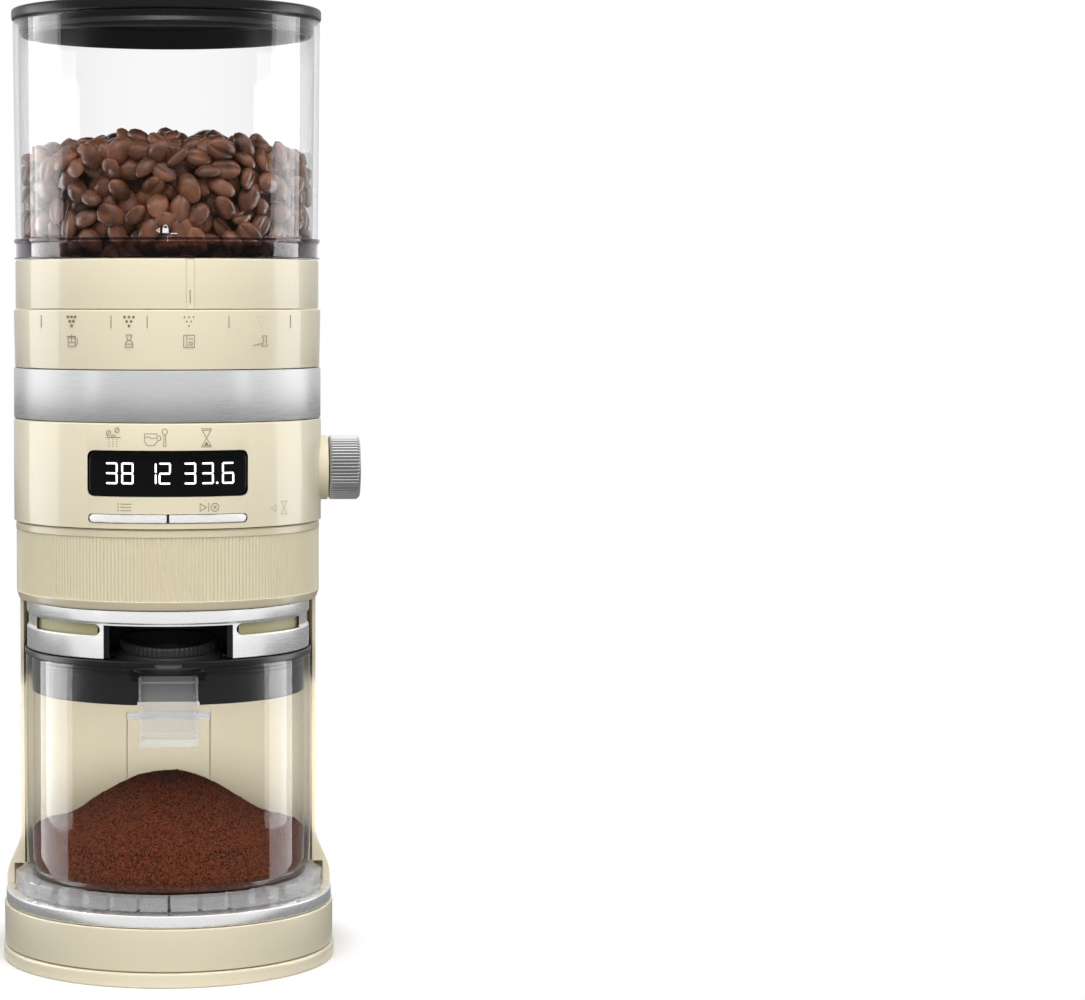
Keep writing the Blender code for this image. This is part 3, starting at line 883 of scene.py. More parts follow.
# ---- hopper and lid ----
@dataclass
class Hopper:
    """Clear bean hopper with its lid, seal and the beans in it."""
    outer: float = 65.9
    wall: float = 2.3
    low: float = 302.6
    high: float = 404.0
    lid_radius: float = 66.5
    lid_top: float = 409.0
    bean_count: int = 1000
    bean_tries: int = 26000
    bean_gap: float = 7.4
    heap_top: float = 355.0
    throat_radius: float = 27.8
    throat_top: float = 289.8
    bean_size: Triple = (6.5, 4.7, 3.8)
    bean_turns: tuple[float, ...] = (-90, -82, -52, -12, 30, 90, 150, 192, 232, 262)

    def lid(self) -> None:
        """Charcoal lid: a shallow dished top, a rounded rim and a plug that goes into the hopper."""
        top, r = self.lid_top, self.lid_radius
        lid = turned("lid_shell", [
            (0, top - 0.7), (r - 4.0, top - 0.7, 0.8), (r - 2.6, top, 0.6), (r, top, 1.2),
            (r, top - 4.4, 0.9), (r - 1.6, top - 4.7, 0.4), (62.5, top - 4.7, 0.5),
            (62.4, 397.6, 0.8), (59.8, 397.6, 0.6), (59.8, top - 3, 0.8), (0, top - 3)], CHARCOAL)
        seat(lid, Body.LID, "charcoal_lid", "hopper_lid")
        seal = turned("lid_gasket", [(63.2, 401.5, 0.4), (63.2, 399.3, 0.4), (62.5, 399.3),
                                     (62.5, 401.5)], RUBBER)
        seat(seal, Body.LID, "rubber", "lid_seal")

    def bowl(self) -> None:
        """Clear wall with a rounded rim, a foot ring, the sloping floor and the throat."""
        r, w = self.outer, self.wall
        bowl = turned("hopper_bowl", [
            (r, self.high, 0.8), (r - 0.75, 312.2), (r - 0.8, 311.4, 0.3), (r - 0.2, 310.8, 0.3),
            (r - 0.2, 309.6, 0.3), (r - 0.9, 309.0, 0.3), (r - 0.9, self.low, 0.8), (60.0, self.low, 2),
            (30.2, 288.5, 3), (30.2, 268), (self.throat_radius, 268),
            (self.throat_radius, self.throat_top, 3), (58, 304.8, 6),
            (r - w - 0.7, 311, 3), (r - w, self.high, 0.8)], CLEAR, steps=256)
        let_light_in(bowl)
        lips = joined("hopper_lips", [
            turned("lip", [(r - 0.05, high, 0.2), (r - 0.05, low, 0.2), (r - 0.5, low), (r - 0.5, high)],
                   SMOKED) for low, high in ((309.9, 311.1), (self.low + 0.1, self.low + 0.6))])
        foot = turned("hopper_foot_band", [(r - 1.3, 309.4, 0.1), (r - 1.3, self.low + 0.9, 0.1),
                                           (r - 1.7, self.low + 0.9), (r - 1.7, 309.4)], SMOKED_FOOT)
        for piece in (lips, foot):
            let_light_in(piece)
            seat(piece, Body.HOPPER, "clear_plastic")
        seat(bowl, Body.HOPPER, "clear_plastic", "hopper")

    def bean_shape(self, along: int = 8) -> tuple[Array, Array]:
        """A coffee bean: an ellipsoid, flattened below, with a narrow furrow down its flat side.

        x = a cos(v), y = b sin(v) cos(u), z = c sin(v) sin(u) with z below 0 pressed to 0.55 of
        itself, where u goes round in uneven steps and v along. The lowest row, at u = -90 degrees,
        is raised by 1.2 sin(v), between two rows that lie 8 degrees beside it.

        Args:
            along: Rows between its two tips.

        Returns:
            Points (N, 3) and the faces' vertex numbers.
        """
        a, b, c = self.bean_size
        u = np.radians(self.bean_turns)[None, :]
        v = np.linspace(0.08, math.pi - 0.08, along)[:, None]
        x = a * np.cos(v) + 0 * u
        y = b * np.sin(v) * np.cos(u)
        z = c * np.sin(v) * np.sin(u)
        z = np.where(z < 0, z * 0.55, z)
        z[:, 0] += 1.2 * np.sin(v[:, 0])
        points = np.stack([x, y, z], axis=-1).reshape(-1, 3)
        around = len(self.bean_turns)
        faces = grid_faces(along, around, False, True).tolist()
        faces.append(list(range(around)))
        faces.append(list(range((along - 1) * around, along * around)))
        return points, faces

    def heap_height(self, x: Array, y: Array) -> Array:
        """Top of the beans: a low rounded heap, higher in the middle."""
        reach = np.sqrt(x ** 2 + y ** 2) / 62.0
        return self.heap_top - 9.0 * reach ** 2 + 1.4 * np.sin(x / 9.0) * np.cos(y / 11.0)

    def floor_height(self, radius: Array) -> Array:
        """Height of the hopper's floor: it rises by 15 mm from the throat out to radius 58."""
        slope = 15.0 * np.clip((radius - self.throat_radius) / 30.2, 0, 1)
        return self.throat_top + slope + 6.2 * np.clip((radius - 58) / 5.5, 0, 1)

    def bean_places(self) -> tuple[Array, Array]:
        """Places and outward directions of the beans that can be seen, kept apart by their size.

        Returns:
            The places and the outward directions, both of shape (N, 3).
        """
        draw = np.random.default_rng(11)
        count = self.bean_tries
        inner = self.outer - self.wall - 3.4
        angle = draw.uniform(0, TAU, count)
        share = draw.uniform(0, 1, count)
        side = share < 0.55
        radius = np.where(side, inner - draw.uniform(0, 9, count),
                          inner * np.sqrt(draw.uniform(0, 1, count)))
        x, y = radius * np.cos(angle), radius * np.sin(angle)
        top = self.heap_height(x, y)
        z = np.where(side, draw.uniform(self.floor_height(radius) + 3.0, top),
                     top - draw.uniform(0, 9, count))
        outward = np.stack([x, y, np.where(side, 0.0, 60.0)], axis=1)
        chosen: list[int] = []
        places = np.stack([x, y, z], axis=1)
        kept = np.full((self.bean_count, 3), 1e6)
        for i in range(count):
            if len(chosen) >= self.bean_count:
                break
            if np.min(np.sum((kept - places[i]) ** 2, axis=1)) > self.bean_gap ** 2:
                kept[len(chosen)] = places[i]
                chosen.append(i)
        return places[chosen], outward[chosen]

    def beans(self) -> None:
        """The beans as one piece, each turned its own way, over a dark core that is painted shadow deep
        in the heap.
        """
        shape, faces = self.bean_shape()
        places, outward = self.bean_places()
        draw = np.random.default_rng(5)
        count = len(places)
        normal = outward / np.linalg.norm(outward, axis=1, keepdims=True)
        normal += draw.normal(0, 0.45, normal.shape)
        normal /= np.linalg.norm(normal, axis=1, keepdims=True)
        helper = draw.normal(0, 1, normal.shape)
        long_way = np.cross(normal, helper)
        long_way /= np.linalg.norm(long_way, axis=1, keepdims=True)
        side_way = np.cross(normal, long_way)
        flip = np.where(draw.uniform(0, 1, count) < 0.42, -1.0, 1.0)[:, None]
        size = draw.uniform(0.86, 1.1, (count, 1, 1))
        turn = np.stack([long_way, side_way * flip, normal * flip], axis=1)
        points = np.einsum("pk,bkc->bpc", shape, turn) * size + places[:, None, :]
        limit = self.outer - self.wall - 0.9
        reach = np.linalg.norm(points[..., :2], axis=-1)
        points[..., :2] *= np.minimum(1, limit / reach)[..., None]
        points[..., 2] = np.maximum(points[..., 2], self.floor_height(reach) + 0.5)
        all_faces = [[n + i * len(shape) for n in face] for i in range(count) for face in faces]
        mesh = new_mesh("coffee_beans", points.reshape(-1, 3), all_faces)
        mesh.shade_smooth()
        seat(placed("coffee_beans", mesh, material(BEAN)), Body.HOPPER, "black_plastic")
        # A dark solid inside the heap: painted shadow that shows in the gaps between the beans.
        core = turned("bean_core", [(0, 347), (40, 344, 6), (50, 338, 6), (51, 307, 3), (46, 301.5, 2),
                                    (30, 293, 3), (0, 293)], BEAN_SHADOW_FILL, steps=96)
        seat(core, Body.HOPPER, "black_plastic")

    def marks(self) -> None:
        """Padlock and arrow printed low on the hopper's front."""
        ink = Print("hopper_marks", self.outer - 0.62, WHITE_INK)
        ink.fill([(-1.9, 312.6), (0.6, 312.6), (0.6, 314.6), (-1.9, 314.6)])
        ink.ring(-0.65, 314.7, 0.8, 1.2, 0.35, 0, 180)
        ink.stroke([(-3.1, 312.9), (-4.3, 313.7), (-3.1, 314.5)], 0.3, closed=True)
        ink.stroke([(1.6, 312.4), (4.0, 312.4)], 0.35)
        ink.stroke([(0.2, 309.5), (0.2, 311.2)], 0.3)
        seat(ink.make(), Body.HOPPER, "black_plastic")

    def build(self) -> None:
        """Makes the hopper, its contents and its lid."""
        self.lid()
        self.bowl()
        self.beans()
        self.marks()


# ---- grind ring and scale ----
@dataclass
class GrindScale:
    """The turning grind ring with its pointer groove, over the fixed ring with its scale."""
    ring_radius: float = 65.3
    ring_low: float = 281.5
    ring_high: float = 302.3
    scale_radius: float = 66.15
    scale_low: float = 256.5
    scale_high: float = 281.2
    pointer: float = 8.4
    sign_low: float = 265.7

    # the strokes of each brewing sign, from the middle of its foot, and whether each closes
    PRESS: ClassVar[Sign] = (
        (((-1.5, 0.3), (1.5, 0.3), (1.5, 4.2), (-1.5, 4.2)), True), (((0, 2.0), (0, 5.2)), False),
        (((-1.3, 2.0), (1.3, 2.0)), False), (((1.6, 3.7), (2.4, 3.2), (2.4, 1.5), (1.6, 1.0)), False),
        (((-2.0, 4.5), (1.8, 4.5)), False))
    CARAFE: ClassVar[Sign] = (
        (((-1.2, 5.2), (-0.4, 3.0), (-1.5, 1.9), (-1.5, 0.1), (1.5, 0.1), (1.5, 1.9), (0.4, 3.0),
          (1.2, 5.2)), True), (((-0.6, 3.0), (0.6, 3.0)), False), (((-1.4, 1.4), (1.4, 1.4)), False))
    MACHINE: ClassVar[Sign] = (
        (((-2.2, 0.1), (2.2, 0.1), (2.2, 5.1), (-2.2, 5.1)), True), (((-0.9, 0.1), (-0.9, 5.1)), False),
        (((-0.1, 3.6), (1.5, 3.6)), False), (((0.1, 1.0), (0.1, 2.2), (1.3, 2.2), (1.3, 1.0)), True))
    POT: ClassVar[Sign] = (
        (((0.7, 4.6), (1.2, 2.6), (0.5, 0.4), (2.8, 0.4), (2.2, 2.6), (2.6, 4.6)), True),
        (((-3.0, 0.7), (0.5, 1.5)), False))

    def groove(self, angle: Array, radius: Array, height: Array) -> Array:
        """Sinks the outer wall by 1 mm over a 3.6 mm wide upright groove at the pointer.

        Args:
            angle: Angle of each point.
            radius: Radius of each point.
            height: Height of each point.

        Returns:
            The changed radius.
        """
        place = np.degrees(angle) + 90 - self.pointer
        offset = np.abs((place + 180) % 360 - 180) * math.pi / 180 * self.ring_radius
        depth = 1.0 * np.clip((1.9 - offset) / 0.35, 0, 1)
        return radius - np.where(radius > self.ring_radius - 1.0, depth, 0)

    def rings(self) -> None:
        """Both rings, with softly rounded edges."""
        r = self.ring_radius
        ring = turned("grind_dial", [
            (r, self.ring_high, 1.0), (r, self.ring_low, 0.5), (61.4, self.ring_low),
            (61.4, self.ring_high, 0.6)], CREAM, steps=1440, relief=self.groove, corner_steps=3)
        seat(ring, Body.GRIND, "cream_paint", "grind_ring")
        s = self.scale_radius
        scale = turned("scale_skirt", [
            (s, self.scale_high, 0.7), (s - 0.45, self.scale_low, 0.4), (62, self.scale_low),
            (62, self.scale_high, 0.4)], CREAM, steps=256)
        seat(scale, Body.FRAME, "cream_paint", "scale_ring")

    def triangle(self, ink: Print, x: float, size: float) -> None:
        """Six dots as a triangle on its tip: three, two and one.

        Args:
            ink: The print to draw on.
            x: Sideways place of the triangle.
            size: Radius of a dot.
        """
        squeeze = math.sqrt(max(0.1, 1 - (x / self.scale_radius) ** 2))
        for row, count in enumerate((3, 2, 1)):
            for i in range(count):
                ink.disc(x + (i - (count - 1) / 2) * 1.9 * squeeze, 278.2 - row * 1.8, size, 10)

    def scale_marks(self) -> None:
        """Ticks, dot triangles from coarse to fine, and a sign for each way of brewing."""
        ink = Print("scale_print", self.scale_radius + 0.02, INK)
        for x in (-52.8, -23.2, -8.3, 25.4, 51.7):
            ink.stroke([(x, 273.7), (x, 278.7)], 0.3)
        for (x, size), sign in zip(((-39.7, 0.66), (-15.8, 0.56), (8.9, 0.36), (38.8, 0.16)),
                                   (self.PRESS, self.CARAFE, self.MACHINE, self.POT)):
            self.triangle(ink, x, size)
            for path, closed in sign:
                ink.stroke([(x + dx, self.sign_low + dz) for dx, dz in path], 0.22, closed)
        seat(ink.make(), Body.FRAME, "black_plastic")
        tick = Print("pointer_print", self.ring_radius - 0.93, INK)
        x = math.sin(math.radians(self.pointer)) * (self.ring_radius - 0.93)
        tick.stroke([(x, 284.0), (x, 289.2)], 0.36)
        seat(tick.make(), Body.GRIND, "black_plastic")

    def build(self) -> None:
        """Makes the rings and their marks."""
        self.rings()
        self.scale_marks()


# ---- housing ----
@dataclass
class Housing:
    """Cream shell with the display and the rear column, the steel band and the cover over it."""
    column_low: float = 24.9
    column_radius: float = 64.6
    wall: float = 2.8
    bay_radius: float = 63.2
    undercut_radius: float = 67.8
    jar_room: tuple[float, float] = (30.2, 39.0)

    def widths(self, z: float) -> Triple:
        """Radius, half width and back of the outline at a height.

        The foot's flare dies out by 1 - (3t^2 - 2t^3), where t runs from 0 at 33 mm to 1 at 54 mm.
        Above the jar the radius grows the same way from the column's to the shell's.

        Args:
            z: The height.

        Returns:
            The radius, half width and back.
        """
        t = min(1.0, max(0.0, (z - 33.0) / 21.0))
        flare = 1 - t * t * (3 - 2 * t)
        t = min(1.0, max(0.0, (z - 160.0) / 26.0))
        grow = t * t * (3 - 2 * t)
        return (self.column_radius + 6.3 * flare + 1.8 * grow, SPINE_HALF + 1.4 * flare,
                SPINE_BACK + 4.9 * flare)

    def outline(self, z: float, inset: float = 0.0) -> Array:
        """The outer outline at a height."""
        radius, half, back = self.widths(z)
        return spine_outline(radius, half, back, inset=inset)

    def shell(self) -> None:
        """The shell: a lofted body, bored for the jar, hollowed, with the control openings cut."""
        low, high = self.column_low, SHELL_HIGH
        heights = [low, low + 0.15, low + 0.4, low + 0.8, *np.linspace(28, 33, 3),
                   *np.linspace(34, 54, 14), 100, 150, *np.linspace(160, 186, 6), high - 0.8,
                   high - 0.4, high - 0.15, high]
        insets = {low: 0.8, low + 0.15: 0.4, low + 0.4: 0.15, high: 0.8, high - 0.15: 0.4,
                  high - 0.4: 0.15}
        body = lofted("housing_shell", [(z, self.outline(z, insets.get(z, 0.0))) for z in heights],
                      CREAM)
        boss = turned("boss", [(0, 69.3), (KNOB_R, 69.3, 0.6), (KNOB_R, 58), (0, 58)], CREAM, 96,
                      (0, 0, KNOB_Z), Axis.SIDE)
        combine(body, 'UNION', boss)
        inside = spine_outline(SHELL_R - self.wall, SPINE_HALF - 3, SPINE_BACK - 3, 15.0)
        gland = turned("gland_hole", [(0, 20), (7.4, 20), (7.4, 0), (0, 0)], CREAM, 64)
        gland.data.transform(Matrix.Translation((0, 0.108, 0.050)) @ Matrix.Rotation(math.pi / 2, 4, 'X'))
        combine(body, 'DIFFERENCE', gland,
                rod("bay", self.bay_radius, 20, 156.8, CREAM, 256),
                rod("undercut", self.undercut_radius, *self.jar_room, CREAM, 256),
                block("front", (-90, -90, 20), (90, 5.0, 170), CREAM),
                block("collar_room", (-90, -91, 155.8), (90, 36.5, SHELL_LOW), CREAM),
                block("hollow", (-38, 66.5, 18), (38, 94, 158), CREAM),
                block("motor_room", (-38, 20, 157), (38, 94.2, 192), CREAM),
                lofted("head_hollow", [(189.5, inside), (240, inside)], CREAM),
                self.rounded_hole("window_room", 33.3, WINDOW_Z, 9.6, 3.2),
                self.rounded_hole("button_room", 33.0, BUTTON_Z, 1.98, 1.8),
                block("seam_left", (-19.2, 55, 31), (-18.65, 62.6, 97.6), CREAM),
                block("seam_right", (18.65, 55, 31), (19.2, 62.6, 97.6), CREAM),
                rod("shaft_hole", 3.6, 50, 75, CREAM, 48, (0, 0, KNOB_Z), Axis.SIDE))
        seat(body, Body.FRAME, "cream_paint", "housing")

    def rounded_hole(self, name: str, half: float, z: float, half_z: float,
                     corner: float) -> Piece:
        """A rounded slot through the front wall.

        Args:
            name: The object's name.
            half: Half its width.
            z: Middle height.
            half_z: Half its height.
            corner: Radius of its corners.

        Returns:
            The cutter.
        """
        outline = fillet([(-half, z - half_z, corner), (half, z - half_z, corner),
                          (half, z + half_z, corner), (-half, z + half_z, corner)], 6, True)
        count = len(outline)
        rings = [np.column_stack([outline[:, 0], np.full(count, y), outline[:, 1]])
                 for y in (-80, -48)]
        faces = grid_faces(2, count, False, True).tolist()
        faces += [list(range(count)), list(range(count, 2 * count))]
        return mesh_object(name, np.concatenate(rings), faces, CREAM)

    def band(self) -> None:
        """The brushed band, with a fine bright lip at each edge, and the cover inside it."""
        def outer(inset: float) -> Array:
            """The band's outline."""
            return spine_outline(BAND_R, SPINE_HALF, SPINE_BACK, inset=inset)
        band = rounded_prism("brushed_band", outer, SHELL_HIGH + 0.3, BAND_HIGH, 0.35, BAND)
        inner = spine_outline(BAND_R - 2, SPINE_HALF - 2, SPINE_BACK - 2, 16)
        combine(band, 'DIFFERENCE', lofted("band_room", [(230, inner), (260, inner)], BAND))
        seat(band, Body.FRAME, "brushed_band", "steel_band")

        def cover_outline(inset: float) -> Array:
            """The cover's outline, inside the band."""
            return spine_outline(BAND_R - 2.3, SPINE_HALF - 2.3, SPINE_BACK - 2.3,
                                 15.7, inset)
        cover = rounded_prism("top_cover", cover_outline, BAND_HIGH - 3.5, BAND_HIGH - 0.3, 0.6,
                              BLACK)
        combine(cover, 'DIFFERENCE', rod("cover_bore", 46, 240, 270, BLACK))
        seat(cover, Body.FRAME, "black_plastic", "head_cover")

    def build(self) -> None:
        """Makes the shell, the band and the cover."""
        self.shell()
        self.band()


# ---- controls ----
@dataclass
class Controls:
    """Display window with its digits and signs, two bar buttons and the side knob."""
    digit_height: float = 9.0
    digit_z: float = 209.3
    line: float = 0.26
    stroke: float = 0.78

    def curved_bar(self, name: str, x0: float, x1: float, z: float, half: float, corner_left: float,
                   corner_right: float, outer: float, depth: float, finish: object,
                   crown: float = 0.0) -> Piece:
        """A plate bent round the front: x, z from its outline, y = -sqrt(r^2 - x^2).

        Args:
            name: The object's name.
            x0: Left side.
            x1: Right side.
            z: Middle height.
            half: Half its height.
            corner_left: Rounding of the left corners.
            corner_right: Rounding of the right corners.
            outer: Outer radius.
            depth: Thickness.
            finish: The finish.
            crown: How far the rim drops back from the face.

        Returns:
            The object.
        """
        columns, rows = 72, 10
        x = np.linspace(x0, x1, columns)
        left, right = x - x0, x1 - x
        def cut(distance: Array, corner: float) -> Array:
            """How far a rounded corner lowers the outline at a distance from its end."""
            inside = np.clip(corner - distance, 0, corner)
            return corner - np.sqrt(np.maximum(corner ** 2 - inside ** 2, 0))
        tall = half - cut(left, corner_left) - cut(right, corner_right)
        v = np.linspace(-1, 1, rows)
        grid_x = np.broadcast_to(x[:, None], (columns, rows))
        grid_z = z + tall[:, None] * v[None, :]
        edge = np.minimum(np.minimum(left, right)[:, None], (tall[:, None] * (1 - np.abs(v[None, :]))))
        sink = crown * np.clip(1 - edge / max(crown, 0.01), 0, 1) ** 2
        front = -np.sqrt((outer - sink) ** 2 - grid_x ** 2)
        back = -np.sqrt((outer - depth) ** 2 - grid_x ** 2)
        ring = np.concatenate([np.stack([grid_x, front, grid_z], -1),
                               np.stack([grid_x, back, grid_z], -1)[:, ::-1]], axis=1)
        faces = grid_faces(columns, 2 * rows, False, True).tolist()
        faces += [list(range(2 * rows)), list(range((columns - 1) * 2 * rows, columns * 2 * rows))]
        return mesh_object(name, ring.reshape(-1, 3), faces, finish)

    def window(self) -> None:
        """Glossy black window and the lit digits in it."""
        pane = self.curved_bar("display_pane", -32.8, 32.8, WINDOW_Z, 9.2, 3.0, 3.0, SHELL_R - 0.1, 2.4,
                               GLASSY, 0.5)
        seat(pane, Body.FRAME, "display_black", "display_window")
        lit = Print("display_digits", SHELL_R - 0.07, DIGITS, 0.04)
        for text, left, pitch in (("38", -25.8, 6.6), ("12", -9.7, 5.9), ("33", 6.6, 7.3)):
            for i, digit in enumerate(text):
                self.digit(lit, int(digit), left + i * pitch)
        self.digit(lit, 6, 22.4)
        lit.disc(20.4, self.digit_z + 0.5, 0.5, 12)
        seat(lit.make(), Body.FRAME, "display_black")

    def digit(self, lit: Print, number: int, x: float) -> None:
        """A seven-segment digit with pointed bars, its left side at x.

        Args:
            lit: The print to draw on.
            number: The digit.
            x: Its left side.
        """
        bars = {0: "abcdef", 1: "bc", 2: "abged", 3: "abgcd", 6: "afgedc", 8: "abcdefg"}[number]
        w, h, s, gap = 5.1, self.digit_height, self.stroke / 2, 0.22
        z0 = self.digit_z
        ends = {"a": ((0, h), (w, h)), "b": ((w, h), (w, h / 2)), "c": ((w, h / 2), (w, 0)),
                "d": ((0, 0), (w, 0)), "e": ((0, h / 2), (0, 0)), "f": ((0, h), (0, h / 2)),
                "g": ((0, h / 2), (w, h / 2))}
        for bar in bars:
            (xa, za), (xb, zb) = ends[bar]
            a, b = np.array([x + xa, z0 + za]), np.array([x + xb, z0 + zb])
            inward = np.array([x + w / 2, z0 + h / 2]) - (a + b) / 2
            shift = np.zeros(2) if bar == "g" else np.sign(np.round(inward, 3)) * s * np.array(
                [1 if bar in "bcef" else 0, 1 if bar in "ad" else 0])
            along = (b - a) / np.linalg.norm(b - a)
            side = np.array([-along[1], along[0]]) * s
            a, b = a + along * (gap + s * 0.8) + shift, b - along * (gap + s * 0.8) + shift
            lit.fill([a - along * s * 0.8, a - side, b - side, b + along * s * 0.8, b + side, a + side])

    def signs(self) -> None:
        """The printed signs over and under the display."""
        ink = Print("panel_print", SHELL_R + 0.02, INK)
        w = self.line
        for x, z in ((-24.4, 230.4), (-20.9, 231.6)):
            ink.ring(x, z, 0.9, 1.1, w)
            ink.stroke([(x - 0.5, z - 0.7), (x + 0.5, z + 0.7)], w)
        ink.ring(-22.4, 229.2, 0.7, 0.5, w)
        ink.stroke([(-25.4, 228.6), (-19.6, 228.6)], 0.36)
        for row in range(4):
            for i in range(3):
                ink.disc(-24.2 + i * 1.6, 227.8 - row * 0.95, 0.22, 8)
        ink.stroke([(-9.6, 230.2), (-9.6, 227.0), (-8.4, 225.4), (-5.6, 225.4), (-4.4, 227.0),
                    (-4.4, 230.2)], w, True)
        ink.ring(-3.9, 228.4, 1.1, 1.0, w, -90, 90)
        ink.stroke([(-9.3, 228.6), (-8.0, 229.0), (-6.4, 228.2), (-4.7, 228.6)], w)
        ink.ring(-1.2, 231.0, 1.1, 1.25, w)
        ink.stroke([(-1.5, 229.7), (-1.7, 225.0), (-0.7, 225.0), (-0.9, 229.7)], w, True)
        for x0, x1, z, tip in ((14.2, 17.8, 231.6, 228.4), (14.2, 17.8, 225.2, 228.4)):
            ink.stroke([(x0, z), (x1, z), ((x0 + x1) / 2, tip)], w, True)
        ink.stroke([(13.8, 232.2), (18.2, 232.2)], w)
        ink.stroke([(13.8, 224.7), (18.2, 224.7)], w)
        ink.fill([(15.1, 225.5), (16.9, 225.5), (16.0, 226.9)])
        ink.stroke([(13.3, 198.1), (13.3, 201.3), (15.9, 199.7)], w, True)
        ink.stroke([(16.9, 198.0), (16.9, 201.4)], w)
        ink.ring(19.5, 199.7, 1.65, 1.65, w)
        ink.stroke([(18.9, 199.1), (20.1, 200.3)], w)
        ink.stroke([(18.9, 200.3), (20.1, 199.1)], w)
        self.list_sign(ink, -20.6)
        seat(ink.make(), Body.FRAME, "black_plastic")
        pale = Print("jog_print", SHELL_R + 0.02, FAINT_INK)
        for z, tip in ((200.9, 198.2), (195.5, 198.2)):
            pale.stroke([(47.4, z), (50.0, z), (48.7, tip)], 0.3, True)
        pale.stroke([(45.2, 199.6), (43.2, 198.2), (45.2, 196.8)], 0.3, True)
        seat(pale.make(), Body.FRAME, "black_plastic")

    def list_sign(self, ink: Print, x: float) -> None:
        """A list of settings: three lines, each after its dot.

        Args:
            ink: The print to draw on.
            x: Its left side.
        """
        for row in range(3):
            z = 201.1 - row * 1.35
            ink.disc(x, z, 0.3, 8)
            ink.stroke([(x + 1.1, z), (x + 5.4, z)], self.line)

    def buttons(self) -> None:
        """Two satin bar buttons with rounded outer ends."""
        for name, body, x0, x1, left, right, node in (
                ("program_bar", Body.PROGRAM, -32.6, -0.45, 1.6, 0.3, "program_button"),
                ("start_bar", Body.START, 0.45, 32.6, 0.3, 1.6, "start_button")):
            bar = self.curved_bar(name, x0, x1, BUTTON_Z, 1.72, left, right, SHELL_R + 0.55, 3.2,
                                  SATIN, 0.5)
            seat(bar, body, "rim_metal", node)

    def knob(self) -> None:
        """Turned steel knob with fine axial flutes, a chamfered rim and a dished end."""
        r = KNOB_R
        def flutes(angle: Array, radius: Array, along: Array) -> Array:
            """Sinks 58 even flutes into the rim."""
            wave = (0.5 - 0.5 * np.cos(angle * 58)) ** 2
            return radius - 0.5 * wave * np.clip((radius - r + 1.0) / 0.5, 0, 1)
        knob = turned("amount_dial", [
            (0, 82.2), (r - 3.4, 82.2, 0.5), (r - 2.2, 83.2, 0.5), (r - 1.2, 83.2, 0.5),
            (r, 81.9, 0.4), (r, 70.6, 0.3), (r - 0.5, 69.8, 0.3), (3.0, 69.8), (3.0, 54), (0, 54)],
            KNOB_STEEL, 576, (0, 0, KNOB_Z), Axis.SIDE, flutes, 3, 40, 40)
        seat(knob, Body.KNOB, "brushed_band", "amount_knob")

    def build(self) -> None:
        """Makes all controls."""
        self.window()
        self.signs()
        self.buttons()
        self.knob()


